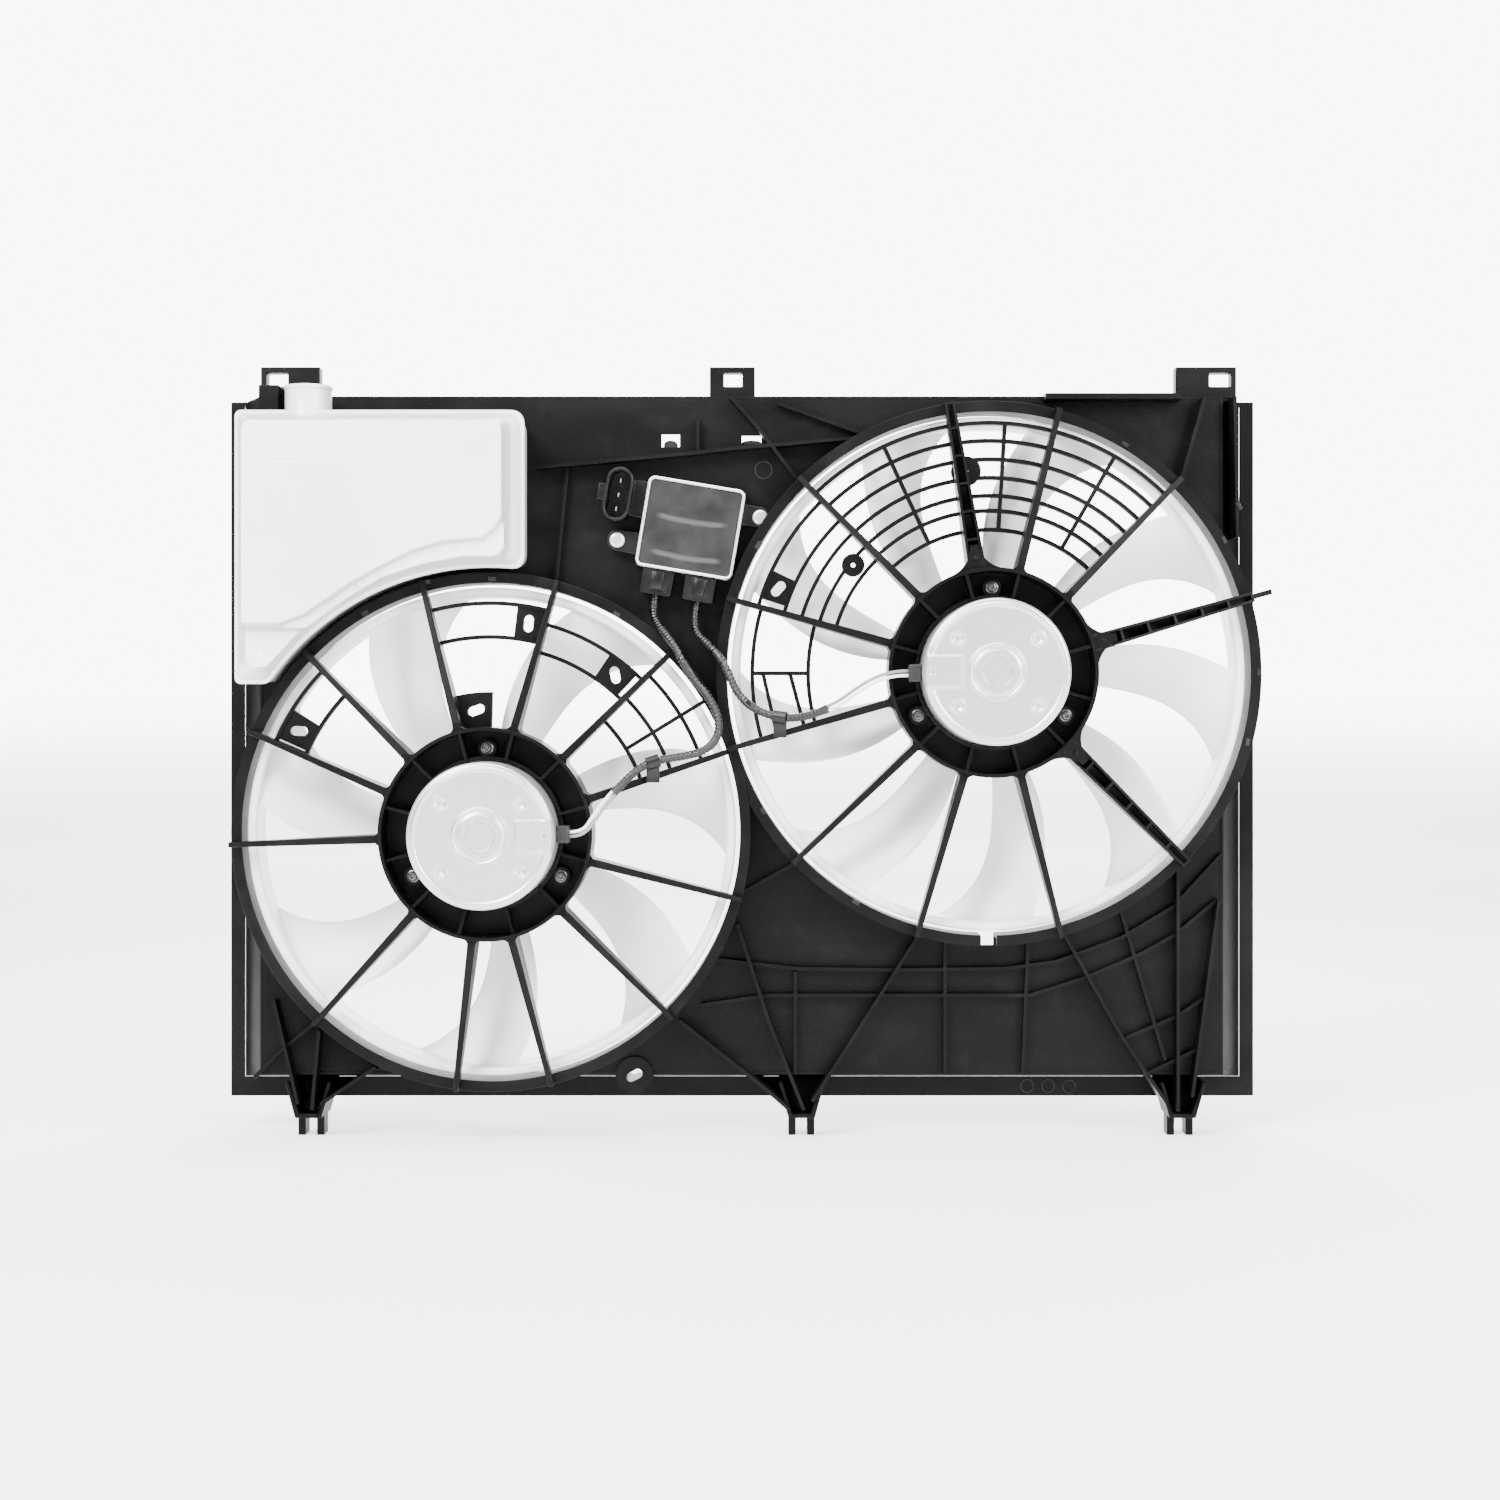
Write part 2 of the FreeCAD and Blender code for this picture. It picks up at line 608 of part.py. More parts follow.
def make_strut(fan, angle):
    """One radial strut from the motor mount to the barrel's lip."""
    heavy = angle in HEAVY[fan.name]
    width_rim = HEAVY_WIDTH_RIM if heavy else STRUT_WIDTH_RIM
    width_hub = HEAVY_WIDTH_HUB if heavy else STRUT_WIDTH_HUB
    r_start = fan.mount_r - MOUNT_WALL
    r_end = lip_outer(fan)
    near = (STRUT_UNDER_HUB, BARREL_DEPTH)
    far = (STRUT_FAR_HUB, STRUT_FAR_RIM)
    strut = beam(fan, r_start, r_end, width_hub, width_rim, near, far)
    if heavy:
        channel = beam(fan, r_start + OVERLAP, r_end - CHANNEL_WALL, width_hub - 2 * CHANNEL_WALL,
                       width_rim - 2 * CHANNEL_WALL, (near[0] + CHANNEL_FLOOR, near[1] + CHANNEL_FLOOR),
                       (far[0] + OVERLAP, far[1] + OVERLAP))
        strut = strut.cut(channel)
        step = (r_end - fan.mount_r) / CHANNEL_WEBS
        webs = [block((fan.x + fan.mount_r + step * k, fan.x + fan.mount_r + step * k + CHANNEL_WALL),
                      (fan.z - width_hub, fan.z + width_hub), BARREL_DEPTH, STRUT_FAR_HUB)
                for k in range(1, CHANNEL_WEBS)]
        outer = beam(fan, r_start, r_end, width_hub, width_rim, near, far)
        strut = fused([strut] + [outer.common(web) for web in webs])
    if fan is RIGHT and angle == STRUTS["right"][0]:
        nub = block((fan.x + r_end - OVERLAP, fan.x + RIGHT_NUB_R),
                    (fan.z - STRUT_WIDTH_RIM / 2, fan.z + STRUT_WIDTH_RIM / 2),
                    BARREL_DEPTH, STRUT_FAR_RIM)
        strut = fused([strut, nub])
    strut = turned(strut.cut(disc(fan.x, fan.z, fan.mount_r, 0, FAR_AWAY)), fan.x, fan.z, angle)
    return strut.cut(disc(RIGHT.x, RIGHT.z, lip_outer(RIGHT), 0, FAR_AWAY)) if fan is LEFT else strut


def lug_angles():
    return [90.0 + 360.0 * k / MOTOR_SCREW_COUNT for k in range(MOTOR_SCREW_COUNT)]


def make_mount(fan):
    """Ring that the struts carry, with a floor, ribs and screw lugs for the motor."""
    bore = MOTOR_R + MOTOR_GAP
    wall = tube(fan.x, fan.z, fan.mount_r, fan.mount_r - MOUNT_WALL, MOUNT_NEAR, MOUNT_FAR)
    floor = tube(fan.x, fan.z, fan.mount_r - MOUNT_WALL / 2, bore, MOUNT_FLOOR_NEAR, MOUNT_FLOOR_FAR)
    lip = tube(fan.x, fan.z, bore + MOUNT_WALL, bore, MOUNT_FLOOR_NEAR, MOUNT_LIP_FAR)
    rib = block((fan.x + bore + OVERLAP, fan.x + fan.mount_r - OVERLAP),
                (fan.z - MOUNT_RIB_THICK / 2, fan.z + MOUNT_RIB_THICK / 2),
                MOUNT_FLOOR_NEAR + OVERLAP, MOUNT_RIB_FAR)
    ribs = around(fan, rib, MOUNT_RIBS, 360.0 / MOUNT_RIBS / 2)
    places = [polar(fan, SCREW_CIRCLE_R, angle) for angle in lug_angles()]
    lugs = [disc(x, z, LUG_R, MOUNT_FLOOR_NEAR + OVERLAP, LUG_FAR) for x, z in places]
    holes = [disc(x, z, MOTOR_SCREW_R + SCREW_CLEARANCE, 0, FAR_AWAY) for x, z in places]
    ring = fused([wall, floor, lip] + ribs + lugs)
    return ring.cut(fused(holes + [disc(fan.x, fan.z, bore, 0, FAR_AWAY)]))


def make_guard(fan, struts):
    """Guard bars, slotted plates and bosses between the struts."""
    bars = []
    half = GUARD_BAR / 2
    for start, end, radii in GUARD_ARCS[fan.name]:
        arcs = fused([tube(fan.x, fan.z, r + half, r - half, GUARD_NEAR, GUARD_FAR) for r in radii])
        sector = wedge(fan, start, end, fan.ring_r, GUARD_NEAR - OVERLAP, GUARD_FAR + OVERLAP)
        bars.append(arcs.common(sector))
    for angle, r_in, r_out in GUARD_SPOKES[fan.name]:
        spoke = block((fan.x + r_in, fan.x + r_out), (fan.z - half, fan.z + half), GUARD_NEAR, GUARD_FAR)
        bars.append(turned(spoke, fan.x, fan.z, angle))
    cuts = []
    for angle, r_in, r_out, spread, tilt in GUARD_PLATES[fan.name]:
        ring = tube(fan.x, fan.z, r_out, r_in, GUARD_NEAR, GUARD_PLATE_FAR)
        sector = wedge(fan, angle - spread, angle + spread, r_out, GUARD_NEAR - OVERLAP, GUARD_FAR + OVERLAP)
        bars.append(ring.common(sector))
        x, z = polar(fan, (r_in + r_out) / 2, angle)
        cuts.append(slot(x, z, SLOT_LENGTH, SLOT_WIDTH, angle + tilt, 0, FAR_AWAY))
    for start, end in GUARD_TIES[fan.name]:
        bars.append(prism(run_outline(start, end, GUARD_BAR), GUARD_NEAR, GUARD_FAR))
    for angle, r, boss_r in GUARD_BOSSES[fan.name]:
        x, z = polar(fan, r, angle)
        bars.append(disc(x, z, boss_r, GUARD_NEAR, GUARD_FAR))
        cuts.append(disc(x, z, GUARD_BOSS_HOLE_R, 0, FAR_AWAY))
    if fan is LEFT:
        plate = tube(fan.x, fan.z, EAR_PLATE_R, fan.mount_r,
                     GUARD_NEAR + EAR_PLATE_BACK, GUARD_FAR + EAR_PLATE_BACK)
        first, last = EAR_PLATE_ANGLE - EAR_PLATE_HALF, EAR_PLATE_ANGLE + EAR_PLATE_HALF
        bars.append(plate.common(wedge(fan, first, last, EAR_PLATE_R, 0, FAR_AWAY)))
        x, z = polar(fan, (EAR_PLATE_R + fan.mount_r) / 2, EAR_PLATE_ANGLE)
        cuts.append(slot(x, z, SLOT_LENGTH, SLOT_WIDTH, EAR_SLOT_TILT, 0, FAR_AWAY))
    return fused(bars).cut(fused(list(struts) + cuts) if cuts else fused(list(struts)))


# Ribs, feet and tabs

def rib_prisms(start, end, height):
    """Upright rib along one straight run of a chain, above the panel and down the walls around it."""
    outline = run_outline(start, end, RIB_THICK)
    return [prism(outline, PANEL_DEPTH, PANEL_DEPTH + height), prism(outline, RIM_DEPTH, PANEL_DEPTH)]


def apart(shapes):
    """The solids of shapes that cross, each later one cut by the earlier ones it meets, without scraps."""
    solids, taken = [], []
    for shape in shapes:
        near = [other for other in taken if other.BoundBox.intersect(shape.BoundBox)]
        rest = shape.cut(near) if near else shape
        solids += [solid for solid in rest.Solids if solid.Volume > RIB_SCRAP]
        taken.append(shape)
    return solids


def make_ribs(outside, stops):
    """Ribs, hood and slotted boss on the panel, as separate solids that meet face to face."""
    shapes = [disc(BOSS_X, BOSS_Z, BOSS_OUTER_R, PANEL_DEPTH, BOSS_FAR),
              disc(BOSS_X, BOSS_Z, BOSS_OUTER_R, 0, PANEL_DEPTH)]
    top = SHROUD_HEIGHT / 2
    shapes.append(block(HOOD_X, (top - HOOD_THICK, top), PANEL_DEPTH, HOOD_FAR))
    for chains, height in ((TALL_RIBS, RIB_TALL), (LOW_RIBS, RIB_LOW)):
        for chain in chains:
            for start, end in zip(chain, chain[1:]):
                shapes += rib_prisms(start, end, height)
    keep_out = fused([outside, boss_slot()] + stops)
    trimmed = [shape.cut(keep_out) for shape in shapes]
    return Part.makeCompound(apart([shape for shape in trimmed if shape.Solids]))


def make_foot(x, outside):
    """Forked foot that hooks on the radiator's lower edge."""
    pieces = []
    half = FOOT_GAP / 2
    for side in (-1, 1):
        inner, outer = x + side * half, x + side * (half + FOOT_PRONG)
        pieces.append(block((min(inner, outer), max(inner, outer)), (FOOT_BOTTOM, FOOT_CROTCH + OVERLAP),
                            FOOT_NEAR, FOOT_FAR))
    wide = half + FOOT_PRONG
    body = [(x - wide - FOOT_SPREAD, FOOT_TOP), (x + wide + FOOT_SPREAD, FOOT_TOP),
            (x + wide, FOOT_CROTCH), (x - wide, FOOT_CROTCH)]
    inset = FOOT_PRONG / 2
    hollow = [(x - wide - FOOT_SPREAD + inset, FOOT_TOP + OVERLAP),
              (x + wide + FOOT_SPREAD - inset, FOOT_TOP + OVERLAP),
              (x + wide - inset, FOOT_CROTCH + FOOT_WEB), (x - wide + inset, FOOT_CROTCH + FOOT_WEB)]
    gusset = prism(body, RIM_DEPTH, FOOT_ROOT_FAR)
    gusset = gusset.cut(prism(hollow, FOOT_NEAR + FOOT_WEB, FOOT_ROOT_FAR + OVERLAP))
    return fused([gusset] + pieces).cut(outside)


TAB_SPANS = (
    # outer x range, window x range
    ((-343.4, -301.4), (-339.4, -324.0)),
    ((-22.9, 9.3), (-13.0, 0.4)),
    ((309.8, 353.0), (333.8, 349.4)),
)


def make_tab(span, window):
    """Framed tab on the top wall that the radiator's upper clip passes through."""
    top = SHROUD_HEIGHT / 2
    plate = block(span, (top, TAB_TOP), TAB_NEAR, TAB_FAR)
    opening = (TAB_TOP - TAB_FRAME - TAB_WINDOW_DROP, TAB_TOP - TAB_FRAME)
    return plate.cut(block(window, opening, 0, PANEL_DEPTH))


def make_reservoir_clip():
    """Barb of the shroud that hooks over the reservoir's top edge."""
    top = SHROUD_HEIGHT / 2
    bridge = block(CLIP_X, (top, CLIP_TOP), PANEL_DEPTH - 2 * CLIP_THICK, CLIP_FAR)
    hook = block(CLIP_X, (TANK_TOP + SEAT_GAP, top), CLIP_FAR - CLIP_THICK, CLIP_FAR)
    return fused([bridge, hook])


# Fans

def blade_sections(fan):
    """Radius, low-edge angle, high-edge angle and engine-side depth of a blade's sections."""
    r_tip = fan.ring_r - RING_LIP
    span = r_tip - HUB_R
    edges = LEFT_BLADE_EDGES if fan is LEFT else RIGHT_BLADE_EDGES
    rows = []
    for k, (low, high) in enumerate(edges):
        share = (k - BLADE_OVERRUN) / (len(edges) - 1 - 2 * BLADE_OVERRUN)
        deep = BLADE_FAR_HUB + (BLADE_FAR_TIP - BLADE_FAR_HUB) * share
        rows.append((HUB_R + span * share, low, high, deep))
    return rows


def make_blade(fan):
    """One swept blade, thin and bent, trimmed to the hub and the ring."""
    sections = []
    for r, low, high, deep in blade_sections(fan):
        middle = (low + high) / 2
        bow = (deep - BLADE_NEAR) * BLADE_BOW
        line = ((low, BLADE_NEAR), (middle, (BLADE_NEAR + deep) / 2 + bow), (high, deep))
        half = BLADE_THICK / 2
        face = [(a, d - half) for a, d in line] + [(a, d + half) for a, d in reversed(line)]
        sections.append([at(*polar(fan, r, a), d) for a, d in face])
    blade = section_loft(sections)
    gap = tube(fan.x, fan.z, fan.ring_r - RING_LIP, HUB_R, 0, PANEL_DEPTH * 2)
    return blade.common(gap)


def make_blades(fan):
    solids = around(fan, make_blade(fan), fan.blades, fan.phase)
    return Part.makeCompound([solid for shape in solids for solid in shape.Solids])


def make_ring(fan):
    """Ring that joins the blade tips, with a lip at its engine-side edge."""
    r_in = fan.ring_r - RING_LIP
    wall = tube(fan.x, fan.z, r_in + RING_WALL, r_in, RING_NEAR, RING_FAR)
    lip = tube(fan.x, fan.z, fan.ring_r, r_in, RING_FAR - RING_LIP_THICK, RING_FAR)
    return fused([wall, lip])


def make_hub(fan):
    """Cup that the blades grow from, with a ribbed boss on the shaft."""
    wall = tube(fan.x, fan.z, HUB_R, HUB_R - HUB_WALL, HUB_NEAR, HUB_FAR)
    web = disc(fan.x, fan.z, HUB_R - HUB_WALL / 2, HUB_NEAR, HUB_NEAR + HUB_WEB)
    boss = disc(fan.x, fan.z, HUB_BOSS_R, HUB_NEAR, HUB_BOSS_FAR)
    rib = block((fan.x + HUB_BOSS_R - OVERLAP, fan.x + HUB_R - OVERLAP),
                (fan.z - HUB_RIB_THICK / 2, fan.z + HUB_RIB_THICK / 2),
                HUB_NEAR + OVERLAP, HUB_NEAR + HUB_WEB + HUB_RIB_HEIGHT)
    hub = fused([wall, web, boss] + around(fan, rib, HUB_RIBS))
    return hub.cut(disc(fan.x, fan.z, SHAFT_R, 0, FAR_AWAY))


def make_nut(fan):
    """Hexagon nut that holds the fan on its shaft."""
    corners = [polar(fan, NUT_R, 60.0 * k) for k in range(6)]
    nut = prism(corners, HUB_NEAR - NUT_THICK, HUB_NEAR)
    return nut.cut(disc(fan.x, fan.z, SHAFT_R, 0, FAR_AWAY))


# Motors

def make_can(fan):
    """Drawn steel can of a motor, with its front bearing seat and three ears."""
    wall = tube(fan.x, fan.z, MOTOR_R, MOTOR_R - CAN_WALL, CAN_NEAR, CAN_FAR)
    front = disc(fan.x, fan.z, MOTOR_R - CAN_WALL / 2, CAN_NEAR, CAN_NEAR + CAN_WALL)
    seat = disc(fan.x, fan.z, BEARING_R + SEAT_WALL, CAN_NEAR, CAN_NEAR + CAN_WALL + BEARING_WIDTH)
    ear = block((fan.x + MOTOR_R - CAN_WALL, fan.x + EAR_R), (fan.z - EAR_WIDTH / 2, fan.z + EAR_WIDTH / 2),
                MOUNT_FLOOR_NEAR - EAR_THICK, MOUNT_FLOOR_NEAR)
    hole = disc(fan.x + SCREW_CIRCLE_R, fan.z, MOTOR_SCREW_R, 0, FAR_AWAY)
    ears = around(fan, ear.cut(hole), MOTOR_SCREW_COUNT, lug_angles()[0])
    bores = [disc(fan.x, fan.z, BEARING_R, CAN_NEAR + CAN_WALL, CAN_FAR),
             disc(fan.x, fan.z, SHAFT_R + MOTOR_GAP, 0, CAN_FAR)]
    return fused([wall, front, seat] + ears).cut(fused(bores))


def make_cap(fan):
    """Pressed end cap of a motor, with its stepped boss, lead panel and dimples."""
    top = CAP_FAR + BOSS_RISE
    points = [(0, top - BOSS_SINK), (BOSS_DIMPLE_R, top - BOSS_SINK), (BOSS_DIMPLE_R + BOSS_STEP_RUN, top),
               (BOSS_STEP_R, top), (BOSS_STEP_R + BOSS_STEP_RUN, top - BOSS_STEP_DROP),
              (BOSS_R, top - BOSS_STEP_DROP),
              (BOSS_R + BOSS_SKIRT, CAP_FAR), (BEAD_R - BEAD_HALF, CAP_FAR), (BEAD_R, CAP_FAR + BEAD_RISE),
               (BEAD_R + BEAD_HALF, CAP_FAR - BEAD_DROP), (MOTOR_R, CAP_FAR - CAP_EDGE_DROP),
              (MOTOR_R, CAN_FAR),
              (0, CAN_FAR)]
    outline = [Vector(r, -d, 0) for r, d in points]
    body = Part.Face(Part.makePolygon(outline + outline[:1])).revolve(Vector(0, 0, 0), Vector(0, 1, 0), 360)
    body.translate(Vector(fan.x, 0, fan.z))
    raised = block((fan.x + PANEL_INNER_R, fan.x + MOTOR_R - CAP_WALL),
                    (fan.z - PANEL_HALF_HEIGHT, fan.z + PANEL_HALF_HEIGHT),
                   CAP_FAR - CAP_WALL, CAP_FAR + PANEL_RISE)
    raised = turned(raised, fan.x, fan.z, 0 if fan.lead_side > 0 else 180)
    body = fused([body, raised])
    hollow = disc(fan.x, fan.z, MOTOR_R - CAN_WALL, CAN_FAR - OVERLAP, CAP_FAR - CAP_WALL)
    seat = tube(fan.x, fan.z, BEARING_R + SEAT_WALL, BEARING_R, CAN_FAR, CAP_FAR - CAP_WALL)
    dimples = [disc(fan.x + i * DIMPLE_X, fan.z + j * DIMPLE_Z, DIMPLE_R,
                    CAP_FAR - DIMPLE_DROP, CAP_FAR + BOSS_RISE)
               for i in (-1, 1) for j in (-1, 1)]
    return fused([body.cut(hollow), seat]).cut(fused(dimples))


def make_bearings(fan):
    """Front and rear bearing rings, which the shaft runs in."""
    front = (CAN_NEAR + CAN_WALL, CAN_NEAR + CAN_WALL + BEARING_WIDTH)
    rear = (CAP_FAR - CAP_WALL - BEARING_WIDTH, CAP_FAR - CAP_WALL)
    return Part.makeCompound([tube(fan.x, fan.z, BEARING_R, SHAFT_R + SHAFT_RUNNING, near, far)
                              for near, far in (front, rear)])


def make_magnets(fan):
    """Curved magnets on the can's inner wall."""
    r_out = MOTOR_R - CAN_WALL
    ring = tube(fan.x, fan.z, r_out, r_out - MAGNET_THICK, MAGNET_NEAR, MAGNET_FAR)
    half = (360.0 / MAGNET_COUNT - MAGNET_SPACE) / 2
    magnet = ring.common(wedge(fan, -half, half, MOTOR_R, MAGNET_NEAR - OVERLAP, MAGNET_FAR + OVERLAP))
    return Part.makeCompound(around(fan, magnet, MAGNET_COUNT, 180.0 / MAGNET_COUNT))


def core_r():
    return MOTOR_R - CAN_WALL - MAGNET_THICK - ROTOR_GAP


def slot_shape(fan, inset, near, far):
    """One armature slot along +X, or the winding in it when inset."""
    half = CORE_SLOT_WIDTH / 2 - inset
    return block((fan.x + core_r() - CORE_SLOT_DROP + inset, fan.x + core_r() - inset),
                 (fan.z - half, fan.z + half), near, far)


def make_core(fan):
    """Laminated armature core with its slots."""
    core = disc(fan.x, fan.z, core_r(), CORE_NEAR, CORE_FAR)
    cutter = block((fan.x + core_r() - CORE_SLOT_DROP, fan.x + core_r() + OVERLAP),
                    (fan.z - CORE_SLOT_WIDTH / 2, fan.z + CORE_SLOT_WIDTH / 2),
                   CORE_NEAR - OVERLAP, CORE_FAR + OVERLAP)
    return core.cut(fused(around(fan, cutter, CORE_SLOTS) + [disc(fan.x, fan.z, SHAFT_R, 0, FAR_AWAY)]))


def make_windings(fan):
    """Copper in the slots, with a ring of end turns at each face of the core."""
    bar = slot_shape(fan, WINDING_INSET, CORE_NEAR - OVERLAP, CORE_FAR + OVERLAP)
    r_out = core_r() - WINDING_OUTER_INSET
    r_in = core_r() - CORE_SLOT_DROP - WINDING_INSET
    ends = [tube(fan.x, fan.z, r_out, r_in, CORE_NEAR - WINDING_END, CORE_NEAR),
            tube(fan.x, fan.z, r_out, r_in, CORE_FAR, CORE_FAR + WINDING_END)]
    return fused(around(fan, bar, CORE_SLOTS) + ends)


def make_commutator(fan):
    return tube(fan.x, fan.z, COMMUTATOR_R, SHAFT_R, COMMUTATOR_NEAR, COMMUTATOR_FAR)


def make_brush_plate(fan):
    """Insulating plate in the can with two brush holders."""
    plate = tube(fan.x, fan.z, MOTOR_R - CAN_WALL, COMMUTATOR_R + BRUSH_PLATE_CLEAR, BRUSH_NEAR, BRUSH_FAR)
    start = fan.x + COMMUTATOR_R + BRUSH_GAP
    holder = block((start, start + BRUSH_LENGTH), (fan.z - BRUSH_HALF_WIDTH, fan.z + BRUSH_HALF_WIDTH),
                   BRUSH_NEAR, COMMUTATOR_FAR + BRUSH_GAP)
    holders = [turned(holder, fan.x, fan.z, angle) for angle in (90, 270)]
    return fused([plate] + holders)


def make_motor_screws(fan):
    """Flanged screws that clamp the motor's ears to the mount."""
    screws = []
    for angle in lug_angles():
        x, z = polar(fan, SCREW_CIRCLE_R, angle)
        shank = disc(x, z, MOTOR_SCREW_R, CAN_NEAR, LUG_FAR + OVERLAP)
        head = disc(x, z, MOTOR_SCREW_HEAD_R, LUG_FAR, LUG_FAR + MOTOR_SCREW_HEAD)
        screws.append(fused([shank, head]))
    return Part.makeCompound(screws)


def lead_exit(fan):
    """Outer end of a motor's grommet, where the leads come out."""
    return fan.x + fan.lead_side * (MOTOR_R + GROMMET_LENGTH), fan.z + fan.lead_side * GROMMET_SHIFT


def make_grommet(fan):
    """Rubber block on the can's side that the leads pass through."""
    x, z = lead_exit(fan)
    root = fan.x + fan.lead_side * (MOTOR_R - CAN_WALL)
    span = (min(root, x), max(root, x))
    body = block(span, (z - GROMMET_HEIGHT / 2, z + GROMMET_HEIGHT / 2), GROMMET_NEAR, GROMMET_FAR)
    return body.cut(disc(fan.x, fan.z, MOTOR_R, 0, FAR_AWAY))


# Reservoir

def tank_body(inset, near, far, round_front):
    """Tank outline drawn in by an inset, as a solid between two depths."""
    xs = (TANK_LEFT + inset, TANK_RIGHT - inset)
    zs = (TANK_BOTTOM + inset, TANK_TOP - inset)
    arc_r = lip_outer(LEFT) + TANK_FAN_GAP + inset
    body = block(xs, zs, near, far).cut(disc(LEFT_X, LEFT_Z, arc_r, near - OVERLAP, far + OVERLAP))
    upright = [edge for edge in body.Edges if abs(edge.BoundBox.YLength - (far - near)) < 0.01
               and edge.BoundBox.XLength < 0.01 and edge.BoundBox.ZLength < 0.01]
    body = body.makeFillet(min(TANK_CORNER, TANK_CORNER - inset), upright)
    if round_front > 0:
        front = [edge for edge in body.Edges if edge.BoundBox.YMax < -far + 0.01]
        body = body.makeFillet(round_front, front)
    return body


def make_reservoir():
    """Coolant reservoir, hollow, with its seam flange and open neck; its low leg meets it face to face."""
    near = PANEL_DEPTH + SEAT_GAP
    outer = tank_body(0, near, TANK_FAR, TANK_FRONT_ROUND)
    inner = tank_body(TANK_WALL, near + TANK_WALL, TANK_FAR - TANK_WALL, TANK_FRONT_ROUND - TANK_WALL)
    seam = tank_body(-TANK_SEAM_LIP, TANK_SEAM, TANK_SEAM + TANK_SEAM_THICK, 0)
    root = TANK_TOP - TANK_WALL / 2
    base = Vector(NECK_X, -NECK_DEPTH, root)
    neck = Part.makeCylinder(NECK_R, NECK_TOP - root, base, Vector(0, 0, 1))
    bore = Part.makeCylinder(NECK_R - NECK_WALL, NECK_TOP - root + 2 * TANK_WALL,
                             base - Vector(0, 0, TANK_WALL), Vector(0, 0, 1))
    tank = fused([outer, seam, neck]).cut(inner).cut(bore)
    low = (-FAR_AWAY, TANK_LEG_TOP)
    return parted(tank, [(WHOLE, (TANK_LEG_TOP, FAR_AWAY)), ((-FAR_AWAY, TANK_LEG_RIGHT), low),
                         ((TANK_LEG_RIGHT, FAR_AWAY), low)])


# Control module

def placed(shape):
    """Move a shape made about the module's centre to its tilted place."""
    copy = shape.copy()
    copy.translate(Vector(MODULE_X, 0, MODULE_Z))
    return turned(copy, MODULE_X, MODULE_Z, MODULE_TILT)


def module_point(u, v):
    """x and z of a point given from the module's centre before its tilt."""
    turn = math.radians(MODULE_TILT)
    return (MODULE_X + u * math.cos(turn) - v * math.sin(turn),
            MODULE_Z + u * math.sin(turn) + v * math.cos(turn))


def module_screw_places():
    return [module_point(u, v) for u, v in MODULE_SCREWS]


def capsule(u, v, width, height, near, far):
    """Upright round-ended block."""
    return slot(u, v, height, width, 90.0, near, far)


def make_module_base():
    """Black base of the control module, with the socket's shroud and two lugs."""
    near = PANEL_DEPTH + SEAT_GAP
    half_w, half_h = MODULE_WIDTH / 2, MODULE_HEIGHT / 2
    plate = block((-half_w, half_w), (-half_h, half_h), near, BASE_FAR)
    lugs = []
    for u, v in MODULE_SCREWS:
        lugs.append(disc(u, v, MODULE_LUG_R, near, BASE_FAR))
        side = 1 if u > 0 else -1
        span = sorted((side * (half_w - OVERLAP), u))
        lugs.append(block(span, (v - MODULE_LUG_R, v + MODULE_LUG_R), near, BASE_FAR))
    socket = capsule(SOCKET_U, SOCKET_V, SOCKET_WIDTH, SOCKET_HEIGHT, near, SOCKET_FAR)
    half_bridge = SOCKET_HEIGHT / 2 - SOCKET_BRIDGE_INSET
    bridge = block((SOCKET_U, -half_w + OVERLAP), (SOCKET_V - half_bridge, SOCKET_V + half_bridge),
                   near, BASE_FAR)
    lock_u = SOCKET_U - SOCKET_WIDTH / 2
    lock = block((lock_u - LOCK_REACH, lock_u + OVERLAP),
                 (SOCKET_V - LOCK_HALF_HEIGHT, SOCKET_V + LOCK_HALF_HEIGHT),
                 BASE_FAR, SOCKET_FAR - LOCK_DROP)
    cavity = capsule(SOCKET_U, SOCKET_V, SOCKET_WIDTH - 2 * SOCKET_WALL, SOCKET_HEIGHT - 2 * SOCKET_WALL,
                     near + SOCKET_FLOOR, SOCKET_FAR + OVERLAP)
    holes = [disc(u, v, MODULE_SCREW_R + SCREW_CLEARANCE, 0, FAR_AWAY) for u, v in MODULE_SCREWS]
    return placed(fused([plate, socket, bridge, lock] + lugs).cut(fused([cavity] + holes)))


def make_module_tray():
    """Aluminium tray that carries the electronics and sheds their heat."""
    half_w, half_h = MODULE_WIDTH / 2, MODULE_HEIGHT / 2
    outer = block((-half_w, half_w), (-half_h, half_h), BASE_FAR, TRAY_FAR)
    upright = [edge for edge in outer.Edges if edge.BoundBox.YLength > 1]
    outer = outer.makeFillet(TRAY_CORNER, upright)
    inner = block((-half_w + TRAY_WALL, half_w - TRAY_WALL), (-half_h + TRAY_WALL, half_h - TRAY_WALL),
                  BASE_FAR + TRAY_WALL, TRAY_FAR + OVERLAP)
    upright = [edge for edge in inner.Edges if edge.BoundBox.YLength > 1]
    return placed(outer.cut(inner.makeFillet(TRAY_CORNER - TRAY_WALL, upright)))


def tray_fill(near, far):
    """Rectangle that fits in the tray with a small gap."""
    u = MODULE_WIDTH / 2 - TRAY_WALL - SEAT_GAP
    v = MODULE_HEIGHT / 2 - TRAY_WALL - SEAT_GAP
    body = block((-u, u), (-v, v), near, far)
    upright = [edge for edge in body.Edges if edge.BoundBox.YLength > far - near - 0.01]
    return placed(body.makeFillet(TRAY_CORNER - TRAY_WALL, upright))


